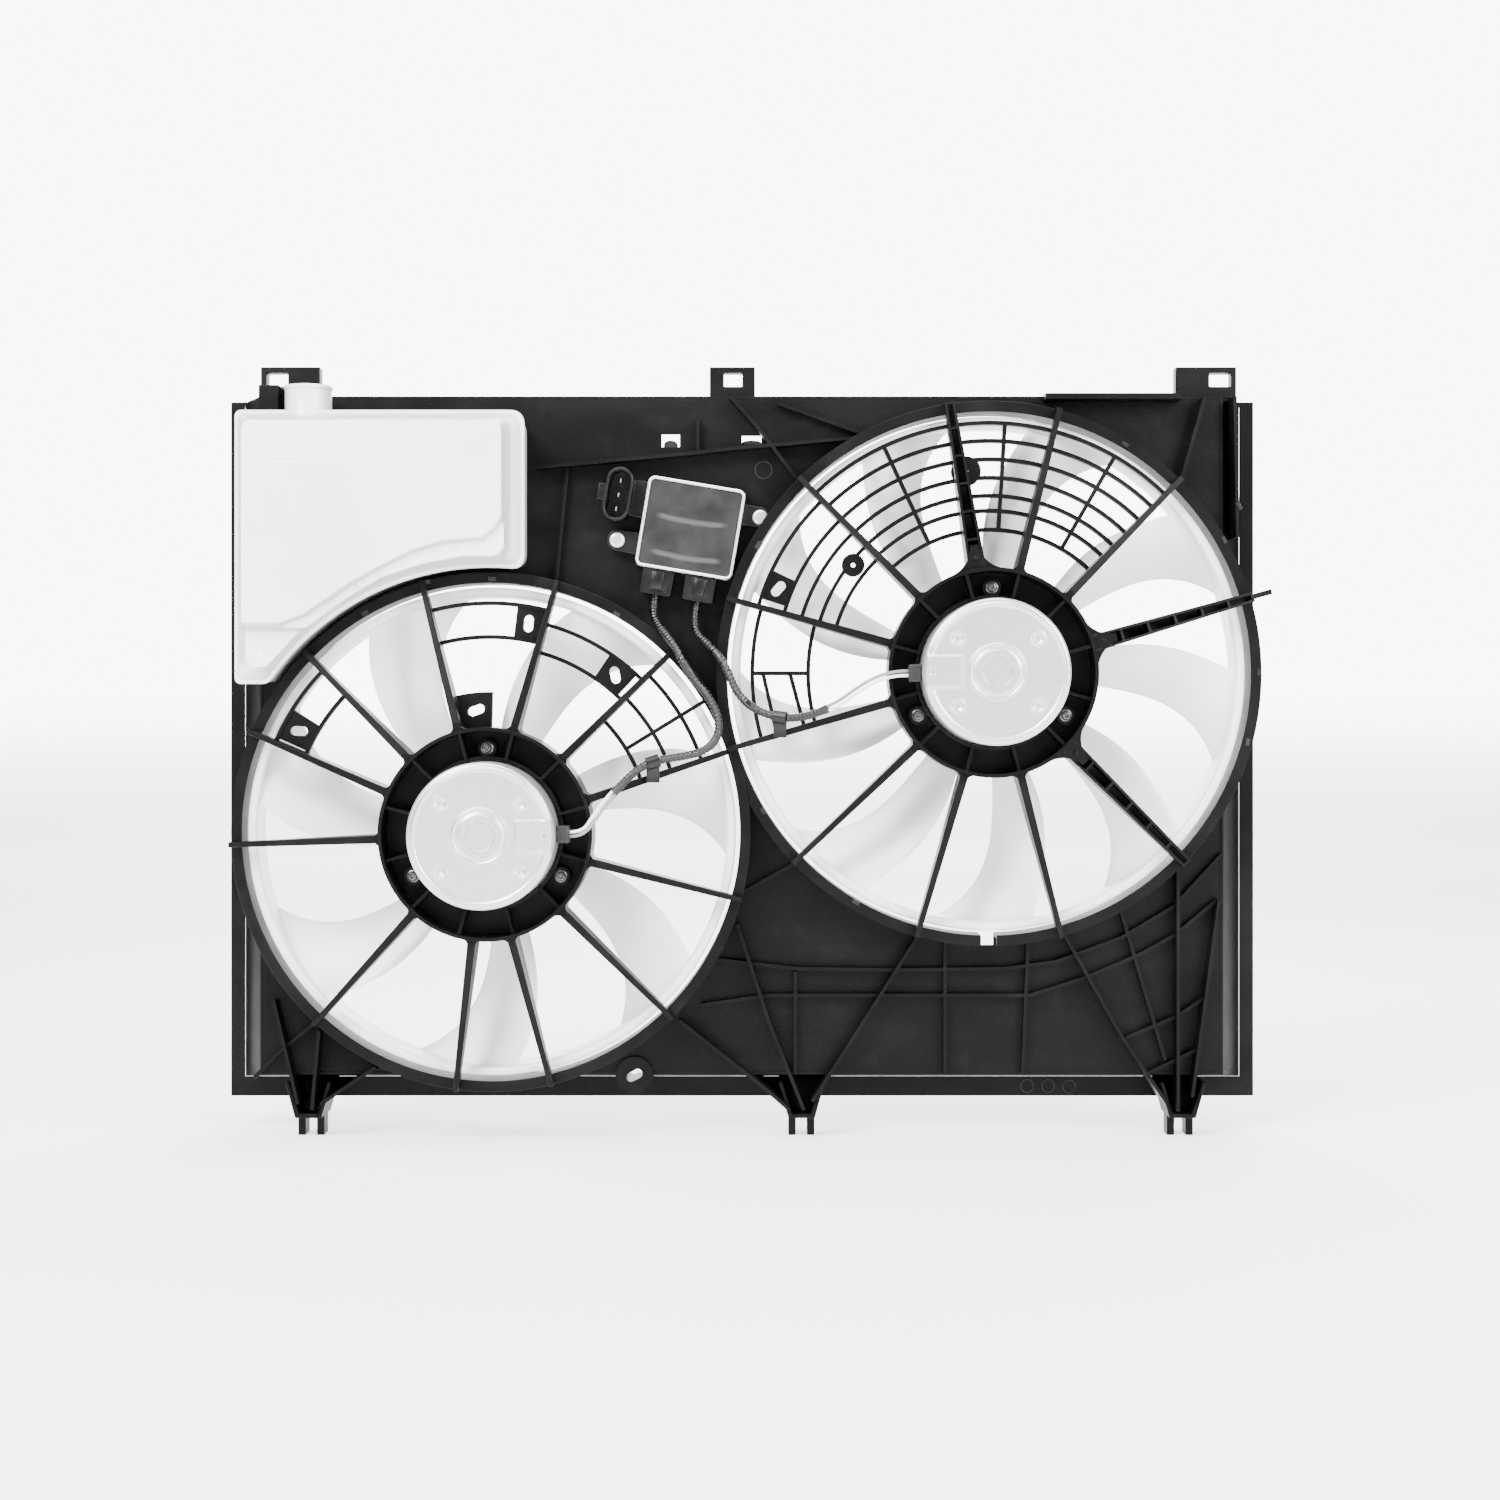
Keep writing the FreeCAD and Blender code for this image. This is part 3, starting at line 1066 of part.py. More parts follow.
def make_module_pins():
    """Contact blades in the module's socket."""
    pins = [block((SOCKET_U - PIN_THICK / 2, SOCKET_U + PIN_THICK / 2),
                  (v - PIN_WIDTH / 2, v + PIN_WIDTH / 2), PANEL_DEPTH + SEAT_GAP + SOCKET_FLOOR, PIN_FAR)
            for v in (SOCKET_V + PIN_PITCH * (k - (PIN_COUNT - 1) / 2) for k in range(PIN_COUNT))]
    return placed(Part.makeCompound(pins))


def make_module_screws():
    """Round-headed screws that hold the module to the panel."""
    screws = []
    for x, z in module_screw_places():
        shank = disc(x, z, MODULE_SCREW_R, PANEL_DEPTH - SHELL_WALL - MODULE_SCREW_PAST, BASE_FAR + OVERLAP)
        head = disc(x, z, MODULE_SCREW_HEAD_R, BASE_FAR, BASE_FAR + MODULE_SCREW_HEAD)
        top = [edge for edge in head.Edges if edge.BoundBox.YMax < -(BASE_FAR + MODULE_SCREW_HEAD) + 0.01]
        screws.append(fused([head.makeFillet(MODULE_SCREW_ROUND, top), shank]))
    return Part.makeCompound(screws)


def make_plug(u):
    """Motor plug on the module's lower edge, with a latch and a collar for its wires."""
    top = -MODULE_HEIGHT / 2 - SEAT_GAP
    body = block((u - PLUG_WIDTH / 2, u + PLUG_WIDTH / 2), (top - PLUG_HEIGHT, top), PLUG_NEAR, PLUG_FAR)
    body = body.makeFillet(PLUG_CORNER, [edge for edge in body.Edges if edge.BoundBox.YLength > 1])
    latch = block((u - LATCH_HALF_WIDTH, u + LATCH_HALF_WIDTH),
                  (top - PLUG_HEIGHT + LATCH_LOW_INSET, top - LATCH_TOP_INSET),
                  PLUG_FAR - OVERLAP, PLUG_FAR + LATCH_RISE)
    return placed(fused([body, latch]))


# Wiring

def route_wire(points):
    """Straight runs joined by tangent arcs, as large as the shorter run allows."""
    edges = []
    start = points[0]
    radii = []
    for before, corner, after in zip(points, points[1:], points[2:]):
        into, out = corner - before, after - corner
        reach = 0.45 * min(into.Length, out.Length)
        half = into.getAngle(out) / 2
        radii.append(reach / math.tan(half))
        into.normalize()
        out.normalize()
        begin, end = corner - into * reach, corner + out * reach
        inward = out - into
        inward.normalize()
        middle = corner + inward * (radii[-1] / math.cos(half) - radii[-1])
        edges.append(Part.LineSegment(start, begin).toShape())
        edges.append(Part.Arc(begin, middle, end).toShape())
        start = end
    edges.append(Part.LineSegment(start, points[-1]).toShape())
    return Part.Wire(edges), radii


def cord(name, points, r):
    """Round cord along a route; prints its smallest radius and how its volume agrees."""
    wire, radii = route_wire(points)
    circle = Part.Wire([Part.Circle(points[0], points[1] - points[0], r).toShape()])
    solid = wire.makePipeShell([circle], True, False)
    ratio = solid.Volume / (math.pi * r * r * wire.Length)
    print(name, "length", round(wire.Length, 1), "radii", [round(value, 1) for value in radii],
          "volume ratio", round(ratio, 4))
    return solid


def plug_exit(u):
    """Middle of a plug's lower end."""
    x, z = module_point(u, -MODULE_HEIGHT / 2 - SEAT_GAP - PLUG_HEIGHT)
    return at(x, z, (PLUG_NEAR + PLUG_FAR) / 2)


def harness_points(fan):
    """Route of a sleeve: square out of its plug, then down to the strut and along it."""
    u, route = (PLUG_U[0], LEFT_ROUTE) if fan is LEFT else (PLUG_U[1], RIGHT_ROUTE)
    turn = math.radians(MODULE_TILT)
    below = plug_exit(u) + Vector(math.sin(turn), 0, -math.cos(turn)) * PLUG_RUN[fan.name]
    return [plug_exit(u), below] + [at(*place) for place in route]


def make_leads(fan):
    """Two insulated leads from the end of the sleeve to the motor's grommet."""
    sleeve = harness_points(fan)
    along = sleeve[-1] - sleeve[-2]
    along.normalize()
    x, z = lead_exit(fan)
    start = [sleeve[-1] + along * LEAD_START, sleeve[-1] + along * LEAD_RUN]
    route = [at(*place) for place in (LEFT_LEADS if fan is LEFT else RIGHT_LEADS)]
    end = [at(x + fan.lead_side * LEAD_RUN, z, LEAD_DEPTH), at(x, z, LEAD_DEPTH)]
    across = end[0] - start[0]
    across = Vector(across.z, 0, -across.x)
    across.normalize()
    level = Vector(0, 0, math.copysign(1.0, across.z))
    leads = []
    for side in (-1, 1):
        points = [point + across * (side * LEAD_SPLIT) for point in start + route]
        points += [point + level * (side * LEAD_SPLIT) for point in end]
        leads.append(cord(fan.name + " lead", points, LEAD_R))
    return Part.makeCompound(leads)


def make_harness_clip(fan, struts):
    """Saddle clip that ties the sleeve to the strut beside it."""
    points = harness_points(fan)
    run = CLIP_RUNS[fan.name]
    a, b = points[run[0]], points[run[1]]
    along = b - a
    along.normalize()
    middle = (a + b) * 0.5
    base = middle - along * (CLIP_LENGTH / 2)
    ring = Part.makeCylinder(SLEEVE_R + CLIP_WALL, CLIP_LENGTH, base, along)
    ring = ring.cut(Part.makeCylinder(SLEEVE_R + SEAT_GAP, CLIP_LENGTH, base, along))
    angle = STRUTS[fan.name][0] if fan is LEFT else STRUTS["right"][6]
    strut = struts[STRUTS[fan.name].index(angle)]
    x, z, depth = middle.x, middle.z, -middle.y
    drop = prism([(x - CLIP_LENGTH / 2, z - SLEEVE_R), (x + CLIP_LENGTH / 2, z - SLEEVE_R),
                  (x + CLIP_LENGTH / 2, z - CLIP_LEG), (x - CLIP_LENGTH / 2, z - CLIP_LEG)],
                 depth - CLIP_LEG_THICK, depth)
    sleeve = Part.makeCylinder(SLEEVE_R + SEAT_GAP, 3 * CLIP_LENGTH,
                               middle - along * (1.5 * CLIP_LENGTH), along)
    return fused([ring, drop.cut(sleeve)]).cut(strut)


def main():
    os.makedirs(PART_FOLDER, exist_ok=True)
    outside = shell_outside()
    holes = shell_holes()
    rim = make_rim(holes)
    save("shroud_rim", rim)
    save("shroud_slopes", make_slopes(rim, holes))
    save("shroud_panel", make_panel(holes))
    barrels = {LEFT: make_barrel(LEFT, RIGHT, outside), RIGHT: make_barrel(RIGHT, LEFT, outside)}
    stops = [disc(fan.x, fan.z, barrel_outer(fan), 0, FAR_AWAY) for fan in FANS]
    feet = [make_foot(x, outside) for x in FOOT_X]
    save("panel_ribs", make_ribs(outside, stops + feet))
    save("lower_feet", Part.makeCompound([foot for shape in feet for foot in shape.Solids]))
    save("upper_tabs", Part.makeCompound([make_tab(*spans) for spans in TAB_SPANS]))
    save("reservoir_clip", make_reservoir_clip())
    save("coolant_reservoir", make_reservoir())
    for fan in FANS:
        save(fan.name + "_barrel", barrels[fan])
        struts = [make_strut(fan, angle) for angle in STRUTS[fan.name]]
        save(fan.name + "_struts", Part.makeCompound([solid for strut in struts for solid in strut.Solids]))
        save(fan.name + "_guard", make_guard(fan, struts))
        save(fan.name + "_motor_mount", make_mount(fan))
        save(fan.name + "_motor_can", make_can(fan))
        save(fan.name + "_motor_cap", make_cap(fan))
        save(fan.name + "_motor_magnets", make_magnets(fan))
        save(fan.name + "_brush_plate", make_brush_plate(fan))
        save(fan.name + "_motor_bearings", make_bearings(fan))
        save(fan.name + "_motor_screws", make_motor_screws(fan))
        save(fan.name + "_lead_grommet", make_grommet(fan))
        save(fan.name + "_fan_ring", make_ring(fan))
        save(fan.name + "_fan_blades", make_blades(fan))
        save(fan.name + "_fan_hub", make_hub(fan))
        save(fan.name + "_fan_nut", make_nut(fan))
        save(fan.name + "_motor_shaft", disc(fan.x, fan.z, SHAFT_R, SHAFT_NEAR, SHAFT_FAR))
        save(fan.name + "_armature_core", make_core(fan))
        save(fan.name + "_armature_windings", make_windings(fan))
        save(fan.name + "_commutator", make_commutator(fan))
        save(fan.name + "_harness", cord(fan.name + " sleeve", harness_points(fan), SLEEVE_R))
        save(fan.name + "_motor_leads", make_leads(fan))
        save(fan.name + "_harness_clip", make_harness_clip(fan, struts))
        save(fan.name + "_motor_plug", make_plug(PLUG_U[FANS.index(fan)]))
    save("module_base", make_module_base())
    save("module_tray", make_module_tray())
    board_near = BASE_FAR + TRAY_WALL + BOARD_GAP
    save("module_board", tray_fill(board_near, board_near + BOARD_THICK))
    save("module_potting", tray_fill(board_near + BOARD_THICK, TRAY_FAR - POTTING_DROP))
    save("module_pins", make_module_pins())
    save("module_screws", make_module_screws())


main()
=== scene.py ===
import json
import logging
import math
from dataclasses import dataclass
from enum import Enum
from typing import Any, Sequence

import bmesh
import bpy
import numpy as np
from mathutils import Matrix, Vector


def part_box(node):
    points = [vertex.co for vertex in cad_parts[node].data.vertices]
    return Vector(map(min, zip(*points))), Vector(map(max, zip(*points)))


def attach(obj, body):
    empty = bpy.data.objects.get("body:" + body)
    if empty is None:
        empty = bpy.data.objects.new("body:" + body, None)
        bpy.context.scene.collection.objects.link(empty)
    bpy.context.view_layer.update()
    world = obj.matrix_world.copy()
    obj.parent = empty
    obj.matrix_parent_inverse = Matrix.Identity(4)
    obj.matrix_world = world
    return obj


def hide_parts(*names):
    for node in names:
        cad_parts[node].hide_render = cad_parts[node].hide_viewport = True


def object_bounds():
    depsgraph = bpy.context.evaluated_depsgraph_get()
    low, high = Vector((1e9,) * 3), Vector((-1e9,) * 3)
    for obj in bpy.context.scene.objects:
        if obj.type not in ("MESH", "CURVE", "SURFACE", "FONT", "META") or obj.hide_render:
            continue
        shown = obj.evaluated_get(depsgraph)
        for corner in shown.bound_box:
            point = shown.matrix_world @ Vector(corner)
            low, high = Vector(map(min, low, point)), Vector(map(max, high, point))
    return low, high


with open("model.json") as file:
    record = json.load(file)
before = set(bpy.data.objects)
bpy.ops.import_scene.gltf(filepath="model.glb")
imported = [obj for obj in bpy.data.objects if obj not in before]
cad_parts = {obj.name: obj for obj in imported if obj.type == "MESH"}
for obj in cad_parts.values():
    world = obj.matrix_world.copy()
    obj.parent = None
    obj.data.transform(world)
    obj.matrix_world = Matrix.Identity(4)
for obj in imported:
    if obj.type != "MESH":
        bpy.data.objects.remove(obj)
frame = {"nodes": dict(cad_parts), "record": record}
CAD_BOX = [list(corner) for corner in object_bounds()]
LOG = logging.getLogger("fan")

# Lengths are millimetres unless a name says otherwise; a depth runs from the radiator face to the engine.
MM = 0.001
FLOOR_Z = CAD_BOX[0][2]
FULL_TURN = 2.0 * math.pi

# Axes of the two motors as (x, z), and the circle and angles of the screws that hold each
LEFT_AXIS = (-175.3, -57.4)
RIGHT_AXIS = (173.3, 53.6)
SCREW_CIRCLE = 59.0
SCREW_ANGLES = (90.0, 210.0, 330.0)

# The control module's middle in metres, and its two axes in the plane of the panel
MODULE_PLACE = (-0.0358, -0.064, 0.156)
MODULE_ACROSS = (0.9863, 0.0, -0.1650)
MODULE_UP = (0.1650, 0.0, 0.9863)


class Side(Enum):
    """The two fans, as seen from the engine."""

    LEFT = "left"
    RIGHT = "right"


class Body(Enum):
    """The bodies that pieces ride on."""

    SHROUD = "shroud"
    LEFT_ROTOR = "left_rotor"
    RIGHT_ROTOR = "right_rotor"


# Shader maths


class Wire:
    """A value in a shader: a node's output socket, with arithmetic that adds Math nodes."""

    def __init__(self, paint: "Paint", socket: Any) -> None:
        """Hold a socket and the paint whose tree it is in."""
        self.paint = paint
        self.socket = socket

    def math(self, operation: str, *others: Any) -> "Wire":
        """Add one Math node.

        Args:
            operation: the node's operation.
            others: the values after the first.

        Returns:
            The node's result.
        """
        values = {k: value for k, value in enumerate((self,) + others)}
        return self.paint.node("ShaderNodeMath", {"operation": operation}, values)

    def __add__(self, other: Any) -> "Wire":
        """Sum."""
        return self.math("ADD", other)

    __radd__ = __add__

    def __mul__(self, other: Any) -> "Wire":
        """Product."""
        return self.math("MULTIPLY", other)

    __rmul__ = __mul__

    def __sub__(self, other: Any) -> "Wire":
        """Difference."""
        return self.math("SUBTRACT", other)

    def __rsub__(self, other: Any) -> "Wire":
        """Reflected difference."""
        return (self * -1.0) + other

    def step(self, low: float, high: float, start: float = 0.0, end: float = 1.0) -> "Wire":
        """Smooth step from start to end as the value goes from low to high."""
        settings = {"interpolation_type": "SMOOTHSTEP"}
        return self.paint.node("ShaderNodeMapRange", settings, {0: self, 1: low, 2: high, 3: start, 4: end})


class Paint:
    """A material under construction, on Object coordinates in metres."""

    def __init__(self, name: str) -> None:
        """Make the material with its one Principled shader."""
        self.material = bpy.data.materials.new(name)
        self.material.use_nodes = True
        self.tree = self.material.node_tree
        self.shader = self.tree.nodes["Principled BSDF"]
        self.place = Wire(self, self.tree.nodes.new("ShaderNodeTexCoord").outputs["Object"])

    def node(self, kind: str, settings: dict[str, Any], inputs: dict[Any, Any], output: Any = 0) -> Wire:
        """Add any node.

        Args:
            kind: the node's type.
            settings: attributes that are set first.
            inputs: socket name or index to a value or a Wire.
            output: the output's name or index.

        Returns:
            That output as a Wire.
        """
        node = self.tree.nodes.new(kind)
        for key, value in settings.items():
            setattr(node, key, value)
        for key, value in inputs.items():
            if isinstance(value, Wire):
                self.tree.links.new(value.socket, node.inputs[key])
            else:
                node.inputs[key].default_value = value
        return Wire(self, node.outputs[output])

    def vector(self, operation: str, first: Any, second: Any, output: int = 0) -> Wire:
        """Add one Vector Math node."""
        return self.node("ShaderNodeVectorMath", {"operation": operation}, {0: first, 1: second}, output)

    def component(self, value: Wire, axis: int) -> Wire:
        """One component of a vector."""
        return self.node("ShaderNodeSeparateXYZ", {}, {0: value}, axis)

    def moved(self, centre: Sequence[float], scale: Sequence[float]) -> Wire:
        """Object coordinates from a centre in metres, stretched."""
        return self.vector("MULTIPLY", self.vector("SUBTRACT", self.place, tuple(centre)), tuple(scale))

    def noise(self, per_metre: float, detail: float = 3.0, where: Wire | None = None) -> Wire:
        """Smooth noise from 0 to 1."""
        inputs = {"Vector": where or self.place, "Scale": per_metre, "Detail": detail, "Roughness": 0.55}
        return self.node("ShaderNodeTexNoise", {}, inputs)

    def normal(self) -> Wire:
        """Direction of the surface."""
        return Wire(self, self.tree.nodes.new("ShaderNodeNewGeometry").outputs["Normal"])

    def mix(self, share: Any, first: Any, second: Any) -> Wire:
        """Blend two colours."""
        values = {"Factor": share, 6: colour(first), 7: colour(second)}
        return self.node("ShaderNodeMix", {"data_type": "RGBA"}, values, 2)

    def feed(self, name: str, value: Any) -> None:
        """Set or link one socket of the shader."""
        socket = self.shader.inputs[name]
        if isinstance(value, Wire):
            self.tree.links.new(value.socket, socket)
        else:
            socket.default_value = value

    def cover(self, share: Wire, other: Wire) -> None:
        """Cover the shader with another one by a share."""
        shaders = {0: share, 1: Wire(self, self.shader.outputs[0]), 2: other}
        both = self.node("ShaderNodeMixShader", {}, shaders)
        self.tree.links.new(both.socket, self.tree.nodes["Material Output"].inputs["Surface"])

    def bump(self, height: Wire, strength: float, reach: float) -> None:
        """Feed Normal with a bump of a height field; reach is in metres."""
        inputs = {"Strength": strength, "Distance": reach, "Height": height}
        self.feed("Normal", self.node("ShaderNodeBump", {}, inputs))


def colour(value: Any) -> Any:
    """A grey number or an RGB triple as RGBA; a Wire stays as it is."""
    if isinstance(value, Wire):
        return value
    if isinstance(value, (int, float)):
        return (value, value, value, 1.0)
    return tuple(value) + (1.0,)


# Finishes


@dataclass(frozen=True)
class Moulded:
    """Glass-filled black plastic: grain, flow marks, rubbed patches and a little dust."""

    name: str
    base: float = 0.0014
    light: float = 0.0045
    rough: float = 0.42
    grain: float = 0.35
    dust: float = 0.10
    gloss: float = 0.09

    def build(self) -> bpy.types.Material:
        """Grain is fine noise in the bump; flow marks are stretched noise in colour and roughness."""
        paint = Paint(self.name)
        flow = paint.noise(9.0, 4.0, paint.moved((0, 0, 0), (1.0, 1.0, 2.6)))
        patch = paint.noise(38.0, 5.0)
        speck = paint.noise(900.0, 2.0)
        cloud = flow.step(0.42, 0.66)
        tone = paint.mix(cloud * 0.7, self.base, self.light)
        tone = paint.mix(speck.step(0.62, 0.74) * self.dust, tone, 0.05)
        paint.feed("Base Color", paint.mix(patch.step(0.56, 0.75) * 0.35, tone, self.light * 1.8))
        paint.feed("Roughness", patch * 0.18 + flow * 0.12 + (self.rough - 0.15))
        paint.bump(speck * 0.6 + paint.noise(260.0, 3.0) * 0.5, self.grain, 0.0004)
        paint.feed("Specular IOR Level", self.gloss)
        return paint.material


@dataclass(frozen=True)
class Milky:
    """Natural white plastic: slightly clouded, with soft flow lines and a low satin sheen."""

    name: str
    tone: tuple[float, float, float] = (0.84, 0.845, 0.84)
    shade: tuple[float, float, float] = (0.76, 0.77, 0.765)
    rough: float = 0.34
    glow: float = 0.12
    # edge: how strongly painted shade darkens the walls that run along the depth
    edge: float = 0.25

    def build(self) -> bpy.types.Material:
        """Clouding is two sizes of noise; walls that run along the depth get painted shade, darker by the
        edge share; the grain is fine noise in the bump."""
        paint = Paint(self.name)
        cloud = paint.noise(16.0, 4.0)
        fleck = paint.noise(340.0, 2.0)
        tone = paint.mix(cloud.step(0.35, 0.7), self.tone, self.shade)
        tone = paint.mix(fleck.step(0.62, 0.78) * 0.25, tone, self.shade)
        # painted shade: walls whose surface runs along the depth are mixed towards a dark copy of the shade
        # colour, by edge
        facing = paint.component(paint.normal(), 1).math("ABSOLUTE")
        deep = tuple(part * 0.42 for part in self.shade)
        paint.feed("Base Color", paint.mix(facing.step(0.35, 0.97, 1.0, 0.0) * self.edge, tone, deep))
        paint.feed("Roughness", cloud * 0.14 + (self.rough - 0.07))
        paint.bump(cloud * 1.0 + fleck * 0.12, 0.10, 0.0008)
        paint.feed("Subsurface Weight", self.glow)
        paint.feed("Subsurface Radius", (0.004, 0.004, 0.0038))
        return paint.material


@dataclass(frozen=True)
class Plated:
    """Pressed, zinc-plated steel: fine rolling lines, soft mottling and small handling marks."""

    name: str
    tone: tuple[float, float, float] = (0.60, 0.605, 0.61)
    rough: float = 0.34
    stretch: tuple[float, float, float] = (60.0, 900.0, 900.0)
    metal: float = 0.78

    def build(self) -> bpy.types.Material:
        """Rolling lines are noise stretched along one axis; spangle is a larger noise in roughness."""
        paint = Paint(self.name)
        lines = paint.noise(1.0, 3.0, paint.moved((0, 0, 0), self.stretch))
        spangle = paint.noise(120.0, 4.0)
        dark = tuple(part * 0.84 for part in self.tone)
        paint.feed("Base Color", paint.mix(spangle.step(0.4, 0.75) * 0.5, self.tone, dark))
        paint.feed("Metallic", self.metal)
        paint.feed("Roughness", spangle * 0.16 + lines * 0.08 + (self.rough - 0.1))
        paint.bump(lines * 0.5 + spangle * 0.3, 0.10, 0.0003)
        return paint.material


@dataclass(frozen=True)
class Sleeve:
    """Woven or ribbed sleeve and rubber: a fine crossing weave, with glossy and rubbed patches."""

    name: str
    base: float = 0.0012
    light: float = 0.005
    rough: float = 0.46
    pitch: float = 1100.0

    def build(self) -> bpy.types.Material:
        """The weave is a slanted wave; noise turns patches of it lighter, and others glossy."""
        paint = Paint(self.name)
        wear = paint.noise(70.0, 4.0)
        tape = paint.noise(130.0, 1.0).step(0.52, 0.62)
        inputs = {"Vector": paint.place, "Scale": self.pitch / 6.0, "Distortion": 1.0, "Detail": 1.0}
        weave = paint.node("ShaderNodeTexWave", {"bands_direction": "DIAGONAL"}, inputs, 1)
        paint.feed("Base Color", paint.mix(wear.step(0.45, 0.7) * 0.8, self.base, self.light))
        paint.feed("Roughness", wear * 0.2 + (self.rough - 0.1) - tape * 0.24)
        paint.bump(weave * 0.7 + paint.noise(self.pitch, 2.0) * 0.4, 0.3, 0.0003)
        return paint.material


@dataclass(frozen=True)
class Potting:
    """Semi-gloss casting compound with slow ripples, two risen streaks and a few pin holes."""

    name: str
    base: float = 0.006
    light: float = 0.012
    streak: float = 0.055

    def build(self) -> bpy.types.Material:
        """Ripples are low noise; a streak is a band about a height along the module's upright axis, which
        fades towards its ends; pin holes are the dark centres of a cell pattern."""
        paint = Paint(self.name)
        ripple = paint.noise(55.0, 3.0)
        cell = paint.node("ShaderNodeTexVoronoi", {}, {"Vector": paint.place, "Scale": 260.0})
        axes = []
        for axis in (MODULE_ACROSS, MODULE_UP):
            shift = paint.moved(MODULE_PLACE, (1.0, 1.0, 1.0))
            axes.append(paint.vector("DOT_PRODUCT", shift, axis, 1) * 1000.0)
        across, up = axes
        sag = across.math("MULTIPLY", across) * 0.0022
        fade = across.math("ABSOLUTE").step(19.0, 27.0, 1.0, 0.0)
        bands = []
        for height in (4.2, -21.4):
            off = (up - height - sag + ripple * 1.6 - 0.8).math("ABSOLUTE")
            bands.append(off.step(0.2, 2.6, 1.0, 0.0) * fade)
        streaks = bands[0] + bands[1]
        tone = paint.mix(ripple.step(0.3, 0.7), self.base, self.light)
        paint.feed("Base Color", paint.mix(streaks * 0.85, tone, self.streak))
        paint.feed("Roughness", ripple * 0.2 + 0.24)
        paint.bump(ripple * 1.0 + cell.step(0.06, 0.12) * 0.15 + streaks * 0.6, 0.3, 0.0012)
        return paint.material


class Finish:
    """Builds each finish once and hands out its material."""

    def __init__(self) -> None:
        """Name every finish of the object."""
        self.made: dict[str, bpy.types.Material] = {}
        fine = (500.0, 500.0, 500.0)
        finishes = (
            Moulded("shroud_plastic"),
            # a lighter black plastic for the nubs, pin circles and window tongues
            Moulded("shroud_rubbed", base=0.012, light=0.035, rough=0.5),
            Moulded("black_plastic", base=0.0012, light=0.005, rough=0.32, dust=0.05, gloss=0.3),
            Moulded("magnet_ceramic", base=0.02, light=0.05, rough=0.7),
            Moulded("board_green", base=0.03, light=0.06),
            Milky("fan_plastic"),
            # the tank's side walls get strong painted shade (edge=0.8)
            Milky("reservoir_plastic", (0.86, 0.865, 0.86), rough=0.26, edge=0.8),
            Milky("lead_insulation", (0.84, 0.84, 0.83), (0.76, 0.76, 0.75), 0.36, 0.0),
            Milky("lead_grey", (0.20, 0.202, 0.205), (0.15, 0.152, 0.155), 0.36, 0.0),
            Plated("motor_steel"),
            Plated("screw_steel", (0.86, 0.86, 0.85), 0.28, fine),
            Plated("screw_black", (0.09, 0.09, 0.093), 0.26, fine, 0.8),
            Plated("core_steel", (0.34, 0.34, 0.35), 0.45, (60.0, 2000.0, 60.0)),
            Plated("bearing_bronze", (0.58, 0.43, 0.24), 0.36, (900.0, 60.0, 900.0), 0.9),
            Plated("winding_copper", (0.70, 0.36, 0.18), 0.32, (900.0, 900.0, 90.0), 0.9),
            Plated("module_aluminium", (0.90, 0.905, 0.91), 0.26, (300.0, 300.0, 300.0), 0.6),
            Plated("pin_brass", (0.78, 0.74, 0.62), 0.25, (800.0, 60.0, 800.0), 0.9),
            Sleeve("rubber_black", rough=0.62),
            Sleeve("sleeve_black", pitch=1500.0),
            Potting("potting_grey"),
        )
        self.kinds: dict[str, Any] = {finish.name: finish for finish in finishes}

    def __call__(self, name: str) -> bpy.types.Material:
        """The material of one finish."""
        if name not in self.made:
            self.made[name] = self.kinds[name].build()
        return self.made[name]


FINISH = Finish()


# Mesh making


class Skin:
    """Grids of points gathered into one closed mesh, in millimetres as (x, depth, z)."""

    def __init__(self) -> None:
        """Start empty."""
        self.points: list[np.ndarray] = []
        self.faces: list[list[int]] = []
        self.count = 0

    def grid(self, points: np.ndarray, wrap_u: bool = False, wrap_v: bool = False) -> np.ndarray:
        """Add an n by m grid of points as quads.

        Args:
            points: an array of shape (n, m, 3).
            wrap_u: whether the last row joins the first.
            wrap_v: whether the last column joins the first.

        Returns:
            The n by m array of point numbers.
        """
        n, m = points.shape[:2]
        ids = np.arange(n * m).reshape(n, m) + self.count
        wide = np.vstack([ids, ids[:1]]) if wrap_u else ids
        wide = np.hstack([wide, wide[:, :1]]) if wrap_v else wide
        quads = np.stack([wide[:-1, :-1], wide[1:, :-1], wide[1:, 1:], wide[:-1, 1:]], -1).reshape(-1, 4)
        self.points.append(points.reshape(-1, 3))
        self.faces += quads.tolist()
        self.count += n * m
        return ids

    def fan(self, ring: np.ndarray, centre: np.ndarray) -> None:
        """Close a ring of point numbers with triangles to a centre point."""
        tip = self.count
        self.points.append(np.asarray(centre, float).reshape(1, 3))
        self.count += 1
        ends = np.roll(ring, -1)
        self.faces += np.stack([ring, ends, np.full_like(ring, tip)], -1).tolist()

    def tube(self, points: np.ndarray) -> None:
        """Add rings of points along the first axis, closed round and with both ends capped."""
        ids = self.grid(points, wrap_v=True)
        self.fan(ids[0], points[0].mean(0))
        self.fan(ids[-1], points[-1].mean(0))

    def mesh(self, name: str) -> bpy.types.Mesh:
        """The finished mesh in metres, welded, with its faces outwards."""
        points = np.vstack(self.points) * np.array([MM, -MM, MM])
        mesh = bpy.data.meshes.new(name)
        mesh.from_pydata(points.tolist(), [], self.faces)
        work = bmesh.new()
        work.from_mesh(mesh)
        bmesh.ops.remove_doubles(work, verts=work.verts, dist=1e-6)
        bmesh.ops.recalc_face_normals(work, faces=work.faces)
        work.to_mesh(mesh)
        work.free()
        return mesh


